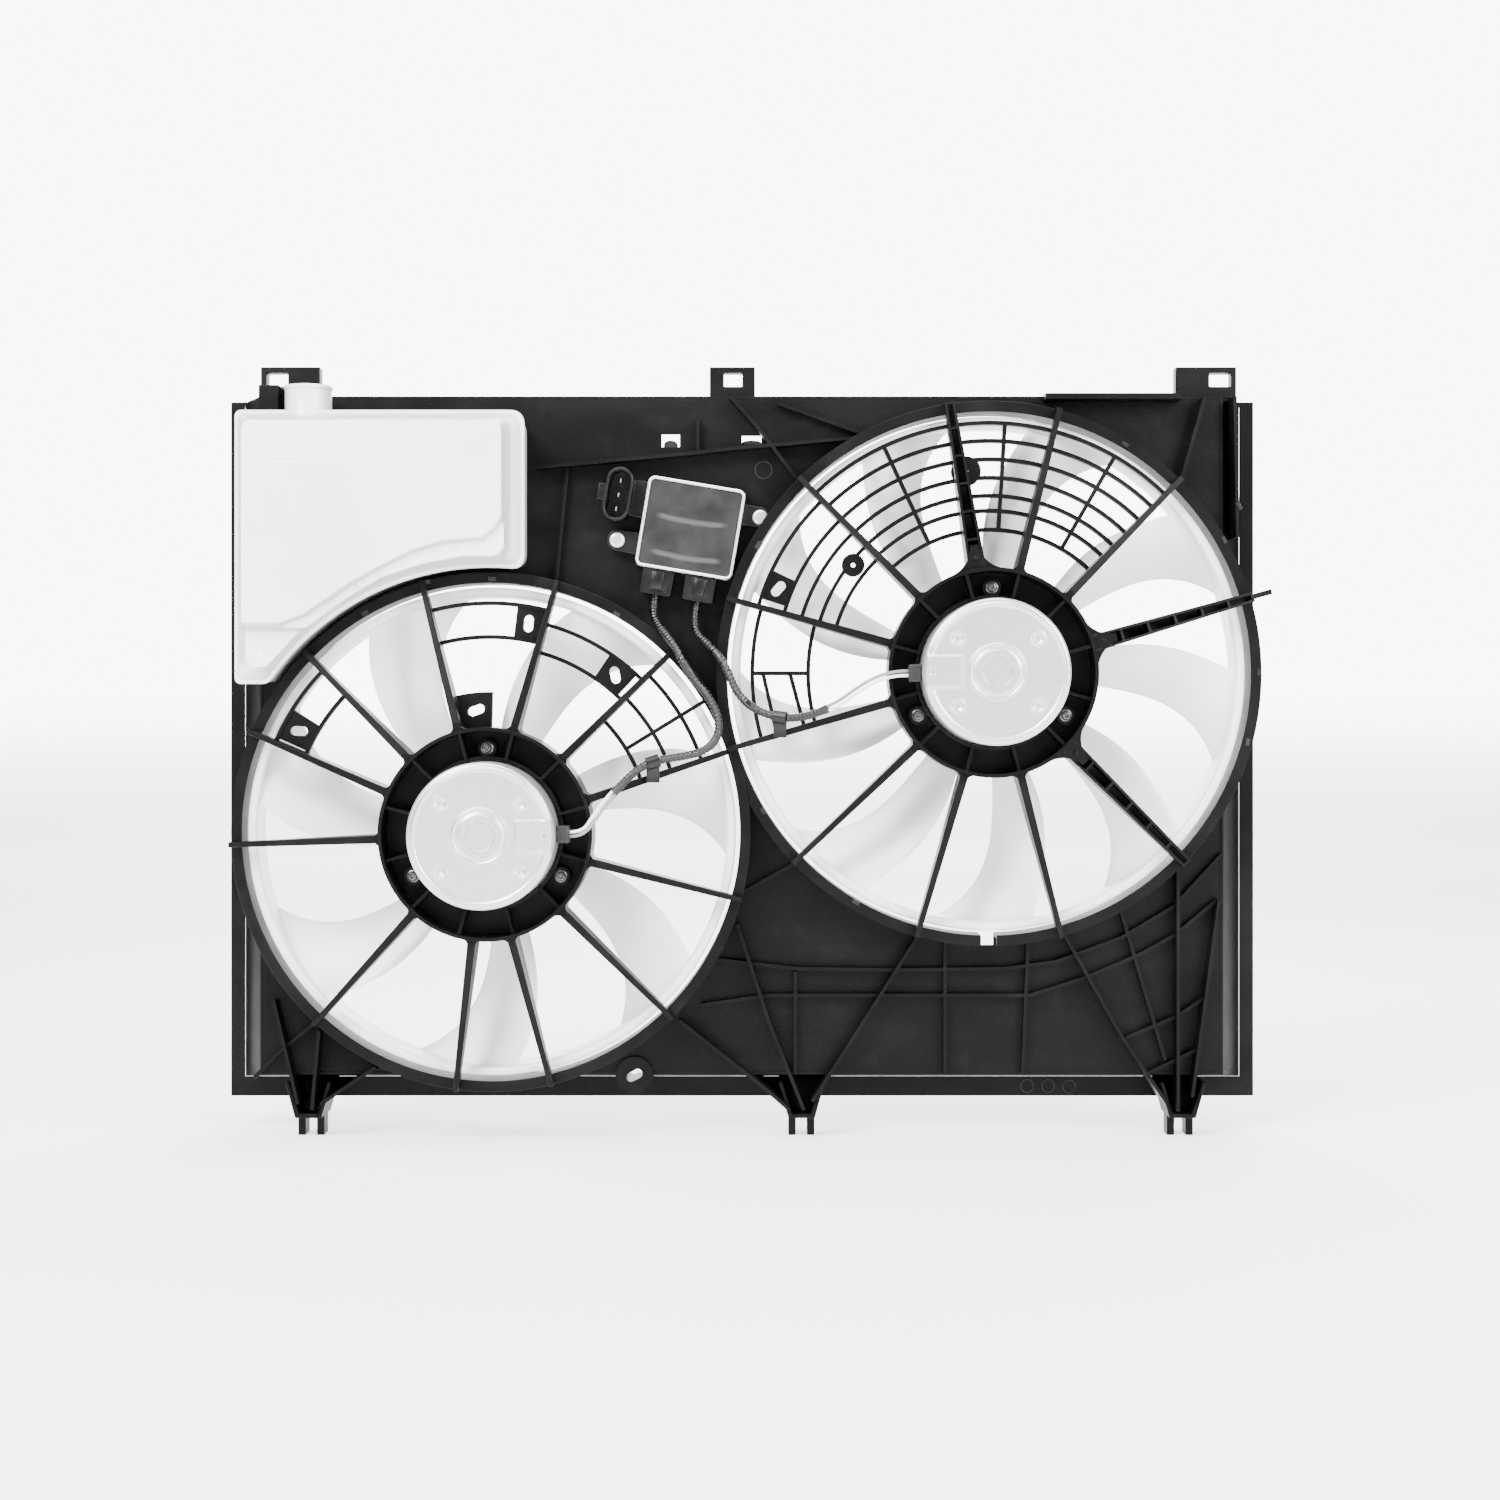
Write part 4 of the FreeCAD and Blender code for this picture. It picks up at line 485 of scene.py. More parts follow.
@dataclass
class Piece:
    """One visible piece and what it rides on and replaces."""

    name: str
    finish: str
    body: Body = Body.SHROUD
    replaces: tuple[str, ...] = ()
    crease: float = 35.0
    slot: str = ""

    def place(self, mesh: bpy.types.Mesh) -> bpy.types.Object:
        """Make the object, dress it, hang it on its body and hide the nodes it replaces.

        Args:
            mesh: the mesh, in place, in metres.

        Returns:
            The new object at the origin.
        """
        mesh.materials.clear()
        mesh.materials.append(FINISH(self.finish))
        mesh.shade_smooth()
        mesh.set_sharp_from_angle(angle=math.radians(self.crease))
        made = bpy.data.objects.new(self.name, mesh)
        bpy.context.scene.collection.objects.link(made)
        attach(made, self.body.value)
        if self.replaces:
            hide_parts(*self.replaces)
        LOG.info("%s: %d faces", self.name, len(mesh.polygons))
        return made

    def cast(self, skin: Skin) -> None:
        """Make the object from gathered points."""
        self.place(skin.mesh(self.name))


@dataclass
class Softened:
    """A CAD node's shape with its sharp edges rounded, as a mould leaves them."""

    node: str
    finish: str
    width: float = 0.5
    body: Body = Body.SHROUD
    segments: int = 2

    def build(self) -> bpy.types.Object:
        """Copy the node, weld it, join its flat facets and bevel what stays sharp."""
        mesh = frame["nodes"][self.node].data.copy()
        mesh.name = self.node + "_soft"
        work = bmesh.new()
        work.from_mesh(mesh)
        bmesh.ops.remove_doubles(work, verts=work.verts, dist=2e-6)
        bmesh.ops.dissolve_limit(work, angle_limit=math.radians(0.5), verts=work.verts, edges=work.edges)
        work.to_mesh(mesh)
        work.free()
        made = Piece(self.node + "_soft", self.finish, self.body, (self.node,), 40.0).place(mesh)
        bevel = made.modifiers.new("edge", "BEVEL")
        bevel.width = self.width * MM
        bevel.segments = self.segments
        bevel.limit_method = "ANGLE"
        bevel.angle_limit = math.radians(40.0)
        bevel.use_clamp_overlap = True
        bevel.harden_normals = False
        return made


def turn(x: np.ndarray, z: np.ndarray, angle: float) -> tuple[np.ndarray, np.ndarray]:
    """Turn points counter-clockwise, as seen from the engine, by degrees."""
    a = math.radians(angle)
    return x * math.cos(a) - z * math.sin(a), x * math.sin(a) + z * math.cos(a)


def smooth(value: np.ndarray, low: float, high: float) -> np.ndarray:
    """Smooth step of an array from 0 at low to 1 at high."""
    t = np.clip((value - low) / (high - low), 0.0, 1.0)
    return t * t * (3.0 - 2.0 * t)


def around(steps: int) -> np.ndarray:
    """Evenly spaced angles of one full turn."""
    return np.linspace(0.0, FULL_TURN, steps, endpoint=False)


def revolved(skin: Skin, x: float, z: float, profile: Sequence[tuple[float, float]], steps: int) -> None:
    """Add a closed profile of (radius, depth) turned about an axis along the depth.

    Args:
        skin: where the surface goes.
        x: the axis.
        z: the axis.
        profile: a closed loop of points; the last joins the first.
        steps: how many steps round.
    """
    loop = np.array(profile, float)
    turns = around(steps)[:, None]
    ring = np.stack([x + loop[:, 0] * np.cos(turns), np.broadcast_to(loop[:, 1], (steps, len(loop))),
                     z + loop[:, 0] * np.sin(turns)], -1)
    skin.grid(ring, wrap_u=True, wrap_v=True)


def lathe(skin: Skin, x: float, z: float, profile: Sequence[tuple[float, float]], steps: int) -> None:
    """Add an open profile of (radius, depth) turned about an axis, both ends closed at the axis."""
    line = np.array(profile, float)
    turns = around(steps)
    ring = np.stack([x + line[:, :1] * np.cos(turns), np.repeat(line[:, 1:], steps, 1),
                     z + line[:, :1] * np.sin(turns)], -1)
    skin.tube(ring)


# Fans


@dataclass
class RingFan:
    """One ring fan: swept blades and the bell-mouthed ring that joins their tips, about the CAD hub."""

    side: Side
    body: Body
    x: float
    z: float
    ring_r: float
    blades: int
    phase: float
    edges: tuple[tuple[float, float, float], ...]
    hub_r: float = 66.0
    near: float = 35.0
    far_hub: float = 63.0
    far_tip: float = 59.0
    thick: float = 2.6

    def blade_mesh(self) -> Skin:
        """Blades: along the span the two edge angles follow a cubic in the radius; across the chord the
        depth is a bowed line, and the thickness is an aerofoil's, thin at the trailing edge."""
        rows, cols = 34, 15
        r_tip = self.ring_r - 5.6
        table = np.array(self.edges)
        r = np.linspace(self.hub_r - 1.5, r_tip, rows)[:, None]
        low = np.polyval(np.polyfit(table[:, 0], table[:, 1], 3), r)
        high = np.polyval(np.polyfit(table[:, 0], table[:, 2], 3), r)
        share = (r - self.hub_r) / (r_tip - self.hub_r)
        far = self.far_hub + (self.far_tip - self.far_hub) * share
        chord = (1.0 - np.cos(np.linspace(0.0, math.pi, cols))) / 2.0
        v = np.concatenate([chord, chord[-2:0:-1]])[None, :]
        flank = np.concatenate([np.ones(cols), -np.ones(cols - 2)])[None, :]
        half = self.thick / 2.0 * (0.30 + 0.9 * np.sqrt(np.maximum(v, 0.0)) * (1.15 - v) * 1.6)
        half = half * np.where((v <= 0.0) | (v >= 1.0), 0.35, 1.0)
        bow = 4.0 * v * (1.0 - v)
        depth = self.near + (far - self.near) * v + 2.6 * bow + flank * half
        angle = np.radians(low + (high - low) * v) + 0.0 * r
        grid = np.stack([r * np.cos(angle), depth, r * np.sin(angle)], -1)
        skin = Skin()
        for k in range(self.blades):
            x, z = turn(grid[..., 0], grid[..., 2], self.phase + 360.0 * k / self.blades)
            skin.tube(np.stack([self.x + x, grid[..., 1], self.z + z], -1))
        return skin

    def ring_profile(self) -> list[tuple[float, float]]:
        """Bell-mouthed ring: a rounded rolled lip, a quarter-round throat and a plain skirt."""
        r = self.ring_r
        throat = [(r - 6.4 + 3.4 * (1.0 - math.cos(t)), 60.2 + 3.4 * math.sin(t))
                  for t in np.linspace(0.0, math.pi / 2, 8)]
        lip = [(r - 0.9 + 0.9 * math.sin(t), 62.7 + 0.9 * math.cos(t)) for t in np.linspace(0.0, math.pi, 7)]
        back = [(r - 3.2, 61.6), (r - 4.0, 60.6), (r - 4.2, 58.0), (r - 4.2, 33.0), (r - 4.8, 32.2),
                (r - 5.8, 32.2), (r - 6.4, 33.0)]
        return throat + lip + back

    def build(self) -> None:
        """Make the blades and the ring, and dress the hub."""
        name = self.side.value
        blades = self.blade_mesh()
        Piece(f"{name}_blade_set", "fan_plastic", self.body, (f"{name}_fan_blades",), 50.0).cast(blades)
        ring = Skin()
        revolved(ring, self.x, self.z, self.ring_profile(), 180)
        Piece(f"{name}_bell_ring", "fan_plastic", self.body, (f"{name}_fan_ring",), 40.0).cast(ring)
        Softened(f"{name}_fan_hub", "fan_plastic", 0.5, self.body).build()
        Softened(f"{name}_fan_nut", "screw_steel", 0.4, self.body).build()


# Motors


@dataclass
class MotorCap:
    """Pressed end cap of one motor, as a height over the polar grid of its face."""

    side: Side
    x: float
    z: float
    lead_angle: float
    flat_r: float = 47.6
    roll: float = 2.4
    face: float = 136.0
    back: float = 128.0

    def height(self, r: np.ndarray, x: np.ndarray, z: np.ndarray) -> np.ndarray:
        """Depth of the face: a flat disc, plus a stepped boss at the middle, a bead near the rim that the
        lead panel interrupts, four dimples, and a rolled edge; each step is a smooth step of the radius."""
        deep = self.face - 0.6 + 1.6 * (1.0 - smooth(r, 18.6, 19.8)) + 1.3 * (1.0 - smooth(r, 14.0, 14.8))
        deep = deep - 1.8 * (1.0 - smooth(r, 9.6, 10.6)) - 0.7 * np.exp(-((r - 16.9) / 0.8) ** 2)
        along = x * math.cos(self.lead_angle) + z * math.sin(self.lead_angle)
        across = -x * math.sin(self.lead_angle) + z * math.cos(self.lead_angle)
        panel = smooth(along, 23.0, 24.2) * (1.0 - smooth(np.abs(across), 10.4, 11.4))
        bead = np.exp(-((r - 45.6) / 1.0) ** 2)
        deep = deep + 0.9 * bead * (1.0 - panel) - 0.5 * smooth(r, 46.4, 47.6) * (1.0 - panel)
        deep = deep + 1.5 * panel * (1.0 - smooth(r, 48.0, 49.4))
        for i in (-1.0, 1.0):
            for j in (-1.0, 1.0):
                gap = np.hypot(x - 27.0 * i, z - 22.6 * j)
                deep = deep - 1.5 * (1.0 - smooth(gap, 2.4, 4.2)) + 0.35 * np.exp(-((gap - 4.7) / 0.6) ** 2)
        hole = np.hypot(along - 43.6, across)
        deep = deep - 2.2 * (1.0 - smooth(hole, 1.0, 1.7))
        edge = np.clip((r - self.flat_r) / self.roll, 0.0, 1.0)
        return deep - 2.6 * (1.0 - np.sqrt(np.maximum(1.0 - edge ** 2, 0.0)))

    def build(self) -> None:
        """Make the cap: polar face, side wall and back."""
        turns = around(240)[None, :]
        rolled = self.flat_r + self.roll * np.sin(np.linspace(0.1, math.pi / 2, 10))
        radii = np.concatenate([np.linspace(0.6, self.flat_r, 96), rolled])
        r = radii[:, None] + 0.0 * turns
        x, z = r * np.cos(turns), r * np.sin(turns)
        face = np.stack([self.x + x, self.height(r, x, z), self.z + z], -1)
        wall = np.stack([face[-1]] * 3)
        wall[1:, :, 1] = self.back
        wall[2, :, 0] = self.x + 0.8 * (wall[2, :, 0] - self.x)
        wall[2, :, 2] = self.z + 0.8 * (wall[2, :, 2] - self.z)
        skin = Skin()
        skin.tube(np.concatenate([face, wall[1:]]))
        name = f"{self.side.value}_pressed_cap"
        replaced = (f"{self.side.value}_motor_cap",)
        Piece(name, "motor_steel", replaces=replaced, crease=50.0).cast(skin)


# Reservoir


# Upper corners that the tank's face and its shelf share, as (x, z)
TANK_CROWN = ((-342.9, 221.0), (-341.2, 225.6), (-337.0, 227.5), (-168.0, 227.5), (-164.0, 225.8))


@dataclass
class Reservoir:
    """White tank: contours lofted from the back over a seam flange, then a front face worked as a height."""

    left: float = -351.0
    right: float = -150.0
    top: float = 236.0
    foot: float = 46.0
    arc_x: float = LEFT_AXIS[0]
    arc_z: float = LEFT_AXIS[1]
    arc_r: float = 184.0
    eye_x: float = -300.0
    eye_z: float = 180.0
    seam: float = 87.6
    neck_x: float = -302.0
    neck_depth: float = 75.0
    face: tuple[tuple[float, float], ...] = (
        (-162.2, 221.0), (-162.2, 162.5), (-168.2, 152.3), (-176.8, 145.4), (-204.3, 143.1), (-225.0, 136.5),
        (-245.7, 126.3), (-266.3, 115.0), (-283.5, 103.1), (-299.1, 92.8), (-316.2, 86.6), (-342.9, 86.3),
        *TANK_CROWN)
    shelf: tuple[tuple[float, float], ...] = (
        (-162.2, 221.0), (-162.0, 140.0), (-164.5, 134.8), (-170.0, 132.7), (-191.4, 132.7), (-220.8, 126.7),
        (-246.9, 118.0), (-270.9, 103.4), (-288.2, 90.3), (-298.6, 83.5), (-339.5, 83.5), (-342.9, 86.3),
        *TANK_CROWN)
    leg: tuple[tuple[float, float], ...] = (
        (-341.0, 90.0), (-341.0, 64.0), (-336.0, 57.5), (-327.0, 57.5), (-318.0, 67.0), (-308.6, 77.0),
        (-300.0, 85.0), (-300.0, 90.0))
    marks: tuple[tuple[float, float, float, float], ...] = (
        (-281.4, 158.4, 1.9, 0.9), (-220.7, 176.2, 1.7, -0.5), (-207.8, 176.2, 1.7, -0.5),
        (-331.5, 68.0, 3.0, -1.4), (-195.3, 137.4, 1.8, -1.2), (-264.1, 112.0, 1.8, -1.2))

    def outline(self, inset: float) -> np.ndarray:
        """Closed contour of (x, z): a rectangle whose lower right is cut by an arc about the fan, drawn in by
        an inset; at each corner a parabola joins points cut back equally along both sides."""
        lo, hi = self.left + inset, self.right - inset
        low, high = self.foot + inset, self.top - inset
        r = self.arc_r + inset
        first = math.acos((hi - self.arc_x) / r)
        last = math.pi - math.asin((low - self.arc_z) / r)

        def on_arc(angle: Any) -> np.ndarray:
            """Points of the arc."""
            return np.stack([self.arc_x + r * np.cos(angle), self.arc_z + r * np.sin(angle)], -1)

        def bend(start: Any, corner: Any, end: Any) -> np.ndarray:
            """Parabola that leaves and arrives along the sides of a corner."""
            t = np.linspace(0.0, 1.0, 13)[:, None]
            start, corner, end = (np.asarray(value, float) for value in (start, corner, end))
            return start * (1 - t) ** 2 + corner * 2 * t * (1 - t) + end * t ** 2

        def side(start: Any, end: Any, count: int) -> np.ndarray:
            """Inner points of a straight side."""
            t = np.linspace(0.0, 1.0, count + 2)[1:-1, None]
            return np.asarray(start, float) * (1 - t) + np.asarray(end, float) * t

        cut = 11.0
        small = 5.0
        joint = on_arc(first)
        heel = on_arc(last)
        turn_in, turn_out = first + cut / r, last - small / r
        pieces = [
            side((lo + small, high), (hi - cut, high), 90),
            bend((hi - cut, high), (hi, high), (hi, high - cut)),
            side((hi, high - cut), (hi, joint[1] + cut), 50),
            bend((hi, joint[1] + cut), joint, on_arc(turn_in)),
            on_arc(np.linspace(turn_in, turn_out, 142)[1:-1]),
            bend(on_arc(turn_out), heel, (heel[0] - small, low)),
            side((heel[0] - small, low), (lo + small, low), 8),
            bend((lo + small, low), (lo, low), (lo, low + small)),
            side((lo, low + small), (lo, high - small), 80),
            bend((lo, high - small), (lo, high), (lo + small, high)),
        ]
        return np.concatenate(pieces)

    def height(self, x: np.ndarray, z: np.ndarray) -> np.ndarray:
        """Depth of the front: from the flange it rises in proportion to the distances from the flange and the
        raised parts, then steps up to the leg, the shelf and the face, with small marks on the face."""
        rim = fenced(x, z, self.outline(2.6))
        on_face = fenced(x, z, self.face)
        on_shelf = fenced(x, z, self.shelf)
        raised = np.maximum(fenced(x, z, self.leg), on_shelf)
        rise = np.clip(rim, 0.0, None) / (np.clip(rim, 0.0, None) + np.clip(-raised, 0.0, None) + 1e-6)
        deep = self.seam + 0.4 * smooth(rim, 0.0, 0.6) + 10.4 * rise * (rim > 0)
        deep = deep + 6.0 * smooth(on_shelf, -2.2, 1.4) + 5.6 * smooth(on_face, -2.6, 1.6)
        band = smooth(z, 187.0, 188.6) * (1 - smooth(z, 197.0, 198.6)) * (1 - smooth(x, -268.0, -262.0))
        deep = deep + 0.5 * band * smooth(on_face, 1.0, 4.0)
        for mark_x, mark_z, size, lift in self.marks:
            deep = deep + lift * (1.0 - smooth(np.hypot(x - mark_x, z - mark_z), size * 0.6, size * 1.25))
        return deep

    def build(self) -> None:
        """Rows of contours: back, side wall, flange; then rows that shrink towards a point that sees all of
        the outline, so none of them folds."""
        rows = [(14.0, 44.8), (6.0, 44.8), (3.2, 46.0), (2.2, 48.4), (2.0, 51.0), (2.0, 84.2), (0.6, 84.6),
                (0.0, 85.2), (0.0, 87.0), (0.5, 87.6), (1.5, 87.6), (2.6, 87.6)]
        rings = [np.insert(self.outline(inset), 1, depth, axis=1) for inset, depth in rows]
        back = rings[0].copy()
        edge = self.outline(2.8)
        centre = np.array([self.eye_x, self.eye_z])
        shares = 1.0 - (1.0 - np.linspace(0.0, 1.0, 118)[:-1]) ** 1.12
        for share in shares:
            flat = edge * (1.0 - share) + centre * share
            rings.append(np.stack([flat[:, 0], self.height(flat[:, 0], flat[:, 1]), flat[:, 1]], -1))
        skin = Skin()
        grid = np.stack(rings)
        ids = skin.grid(grid, wrap_v=True)
        middle = self.height(centre[:1], centre[1:])[0]
        skin.fan(ids[-1], np.array([self.eye_x, middle, self.eye_z]))
        skin.fan(ids[0], np.array([self.eye_x, back[0, 1], self.eye_z]))
        Piece("tank_shell", "reservoir_plastic", replaces=("coolant_reservoir",), crease=38.0).cast(skin)
        neck = Skin()
        loop = np.array([(16.6, 226.0), (16.6, 233.0), (16.2, 234.0), (16.2, 250.6), (16.9, 251.4),
                         (17.0, 252.8), (16.4, 253.8), (15.2, 254.0), (14.4, 253.6), (14.2, 252.6),
                         (14.2, 226.0)])
        turns = around(96)[:, None]
        across, deep = loop[:, 0] * np.cos(turns), loop[:, 0] * np.sin(turns)
        ring = np.stack([self.neck_x + across, self.neck_depth + deep,
                         np.broadcast_to(loop[:, 1], (96, len(loop)))], -1)
        neck.grid(ring, wrap_u=True, wrap_v=True)
        Piece("tank_neck", "reservoir_plastic").cast(neck)


def fenced(x: np.ndarray, z: np.ndarray, corners: Any) -> np.ndarray:
    """Signed distance of points from a closed outline, positive inside: the least distance to a side, signed
    by how many sides a line towards +x crosses."""
    ends = np.asarray(corners, float)
    best = np.full(np.shape(x), 1e9)
    odd = np.zeros(np.shape(x), bool)
    for (ax, az), (bx, bz) in zip(ends, np.roll(ends, -1, axis=0)):
        dx, dz = bx - ax, bz - az
        share = np.clip(((x - ax) * dx + (z - az) * dz) / (dx * dx + dz * dz + 1e-12), 0.0, 1.0)
        best = np.minimum(best, np.hypot(x - ax - share * dx, z - az - share * dz))
        crossing = ax + (z - az) * dx / (dz if abs(dz) > 1e-9 else 1e-9)
        odd ^= ((az > z) != (bz > z)) & (x < crossing)
    return np.where(odd, best, -best)


# Shroud


@dataclass
class Shroud:
    """The black moulding: rim, walls, panel, ribs, ducts, struts, guards, mounts, feet and tabs."""

    edges: tuple[tuple[float, str], ...] = (
        (0.5, "shroud_panel panel_ribs reservoir_clip left_guard right_guard"),
        (0.6, "shroud_rim shroud_slopes lower_feet left_barrel right_barrel"),
        (0.6, "left_motor_mount right_motor_mount"),
        (0.7, "upper_tabs left_struts right_struts"),
    )

    def build(self) -> None:
        """Round every edge of the moulding's parts."""
        for width, nodes in self.edges:
            for node in nodes.split():
                Softened(node, "shroud_plastic", width).build()


@dataclass
class StrutRoots:
    """Webs that widen each strut where it meets a motor's mount ring."""

    side: Side
    x: float
    z: float
    ring: float
    angles: tuple[float, ...]
    heavy: tuple[float, ...] = ()
    near: float = 76.0
    far: float = 102.6

    def outline(self, half: float, sweep: float) -> np.ndarray:
        """Closed outline of (outwards, across): both flanks are quarter circles that leave the ring square to
        it and end along the strut, and the inner side follows the ring."""
        gap = np.linspace(sweep, 0.0, 14)
        across = half + sweep - np.sqrt(np.maximum(sweep ** 2 - (sweep - gap) ** 2, 0.0))
        outwards = np.sqrt(self.ring ** 2 - across ** 2) + gap - 0.4
        inner = np.linspace(across[-1], -across[-1], 9)[1:-1]
        rim = np.stack([np.sqrt(self.ring ** 2 - inner ** 2) - 1.6, inner], -1)
        flank = np.stack([outwards, across], -1)
        return np.concatenate([flank, rim, flank[::-1] * (1.0, -1.0)])

    def build(self) -> None:
        """One web at each strut, thin and wide at the heavy ones, which also carry a small pin mark."""
        skin = Skin()
        for angle in self.angles:
            wide = angle in self.heavy
            flat = self.outline(3.0 if wide else 1.9, 17.0 if wide else 6.0)
            x, z = turn(flat[:, 0], flat[:, 1], angle)
            low, high = (97.6, 101.8) if wide else (self.near, self.far)
            soft = 0.4 if wide else 0.5
            levels = (low, low + soft, high - soft, high)
            rings = []
            for k, depth in enumerate(levels):
                pull = 0.995 if k in (0, 3) else 1.0
                cx, cz = x.mean(), z.mean()
                rings.append(np.stack([self.x + cx + (x - cx) * pull, np.full(len(x), depth),
                                       self.z + cz + (z - cz) * pull], -1))
            skin.tube(np.stack(rings))
            if wide:
                a, reach = math.radians(angle), self.ring + 7.0
                lathe(skin, self.x + reach * math.cos(a), self.z + reach * math.sin(a),
                      ((1.9, 101.6), (1.9, 102.4), (1.2, 102.9), (0.3, 103.0)), 20)
        name = f"{self.side.value}_strut_roots"
        Piece(name, "shroud_plastic", crease=40.0).cast(skin)


@dataclass
class ShroudMarks:
    """Small moulded marks: nubs on the duct lips, pin circles on panel and strip, tongues in the windows."""

    nubs: tuple[tuple[float, float, float], ...] = (
        (268.6, 213.9, 56.0), (338.0, 147.0, 28.0), (348.5, 170.8, 30.0), (362.4, 54.6, 0.0),
        (354.4, 5.6, -12.0), (15.2, -42.7, 208.0), (80.3, -106.4, 238.0), (12.4, 143.5, 150.0),
        (-263.4, 95.9, 118.0), (-220.4, 117.6, 104.0), (-174.5, 119.7, 90.0), (-87.1, 95.2, 60.0),
        (11.5, 143.2, 150.0))
    circles: tuple[tuple[float, float, float, float], ...] = (
        (15.5, 198.7, 44.0, 6.0), (206.2, -243.8, 12.0, 4.6), (221.4, -243.8, 12.0, 4.6),
        (236.6, -244.2, 12.0, 4.6))

    def dress(self, name: str, skin: Skin, crease: float) -> None:
        """Make one piece of the lighter black plastic."""
        Piece(name, "shroud_rubbed", crease=crease, slot="shroud_plastic").cast(skin)

    def build(self) -> None:
        """Nubs are small domes, circles are thin raised rings, tongues half ellipses behind the windows."""
        skin = Skin()
        for x, z, angle in self.nubs:
            half = np.array(((2.7, 1.5), (-2.7, 1.5), (-2.7, -1.5), (2.7, -1.5)))
            rings = []
            for depth, size in ((67.8, 1.0), (70.2, 1.0), (70.9, 0.8), (71.1, 0.3)):
                u, w = turn(half[:, 0] * size, half[:, 1] * size, angle + 90.0)
                rings.append(np.stack([x + u, np.full(4, depth), z + w], -1))
            skin.tube(np.stack(rings))
        self.dress("lip_nubs", skin, 30.0)
        marks = Skin()
        for x, z, depth, r in self.circles:
            low, high = depth - 0.2, depth + 0.45
            revolved(marks, x, z, ((r - 0.45, low), (r + 0.45, low), (r + 0.3, high), (r - 0.3, high)), 40)
        self.dress("pin_circles", marks, 60.0)
        tongues = Skin()
        arc = np.linspace(0.0, math.pi, 17)
        for x, z, wide, tall in ((-50.5, 214.6, 5.0, 5.4), (7.0, 216.6, 7.4, 3.4)):
            flat = np.stack([x + wide * np.cos(arc), z + tall * np.sin(arc) ** 0.6], -1)
            flat = np.concatenate([flat, [(x - wide, z - 1.4), (x + wide, z - 1.4)]])
            tongues.tube(np.stack([np.insert(flat, 1, depth, axis=1) for depth in (36.0, 40.8)]))
        self.dress("window_tongues", tongues, 30.0)


# Wiring


@dataclass
class Wiring:
    """One branch: a ribbed sleeve and its two leads, along the route's own smooth curve."""

    side: Side
    route: tuple[tuple[float, float, float], ...]
    leads: tuple[tuple[tuple[float, float, float], tuple[float, float, float]], ...]
    sleeve_r: float = 2.8
    lead_r: float = 1.15
    rib_pitch: float = 2.9
    tape_shares: tuple[float, ...] = (0.0, 0.34, 0.62, 1.0)

    def along(self, points: Sequence[tuple[float, float, float]], steps: int) -> np.ndarray:
        """Evenly spaced points, in millimetres, along the NURBS of order 3 of a route's control points."""
        data = bpy.data.curves.new("route", "CURVE")
        data.dimensions = "3D"
        data.resolution_u = 24
        spline = data.splines.new("NURBS")
        spline.points.add(len(points) - 1)
        for point, place in zip(spline.points, points):
            point.co = (*place, 1.0)
        spline.order_u = 3
        spline.use_endpoint_u = True
        curve = bpy.data.objects.new("route", data)
        mesh = bpy.data.meshes.new_from_object(curve)
        line = np.empty(len(mesh.vertices) * 3)
        mesh.vertices.foreach_get("co", line)
        bpy.data.objects.remove(curve)
        bpy.data.curves.remove(data)
        bpy.data.meshes.remove(mesh)
        line = line.reshape(-1, 3) / MM
        run = np.concatenate([[0.0], np.cumsum(np.linalg.norm(np.diff(line, axis=0), axis=1))])
        even = np.linspace(0.0, run[-1], steps)
        return np.stack([np.interp(even, run, line[:, k]) for k in range(3)], -1)

    def tube(self, line: np.ndarray, radius: np.ndarray, sides: int) -> np.ndarray:
        """Rings about a line: each is a circle of its own radius, square to the line's direction."""
        ahead = np.gradient(line, axis=0)
        ahead /= np.linalg.norm(ahead, axis=1)[:, None]
        across = np.cross(ahead, (0.0, 1.0, 0.0))
        across /= np.linalg.norm(across, axis=1)[:, None]
        other = np.cross(ahead, across)
        turns = around(sides)[None, :, None]
        spoke = np.cos(turns) * across[:, None] + np.sin(turns) * other[:, None]
        return (line[:, None] + radius[:, None, None] * spoke) * (1.0, -1.0, 1.0)

    def build(self) -> None:
        """The sleeve's radius waves along its length, with smooth taped stretches; the leads are plain."""
        name = self.side.value
        line = self.along(self.route, 420)
        run = np.concatenate([[0.0], np.cumsum(np.linalg.norm(np.diff(line, axis=0), axis=1))])
        tapes = [np.exp(-((run - run[-1] * share) / 5.0) ** 6) for share in self.tape_shares]
        taped = np.maximum.reduce(tapes)
        rib = 0.24 * np.cos(run * FULL_TURN / self.rib_pitch) * (1.0 - taped)
        skin = Skin()
        skin.tube(self.tube(line, self.sleeve_r - 0.1 + rib + 0.22 * taped, 20))
        Piece(f"{name}_ribbed_sleeve", "sleeve_black", replaces=(f"{name}_harness",), crease=50.0).cast(skin)
        for sign, finish in ((-1.0, "lead_grey"), (1.0, "lead_insulation")):
            moved = [tuple(p + sign * s for p, s in zip(place, shift)) for place, shift in self.leads]
            wire = self.along(moved, 60)
            lead = Skin()
            lead.tube(self.tube(wire, np.full(len(wire), self.lead_r), 14))
            shade = "grey" if sign < 0 else "white"
            replaced = (f"{name}_motor_leads",)
            Piece(f"{name}_{shade}_lead", finish, Body.SHROUD, replaced, 50.0, "lead_insulation").cast(lead)


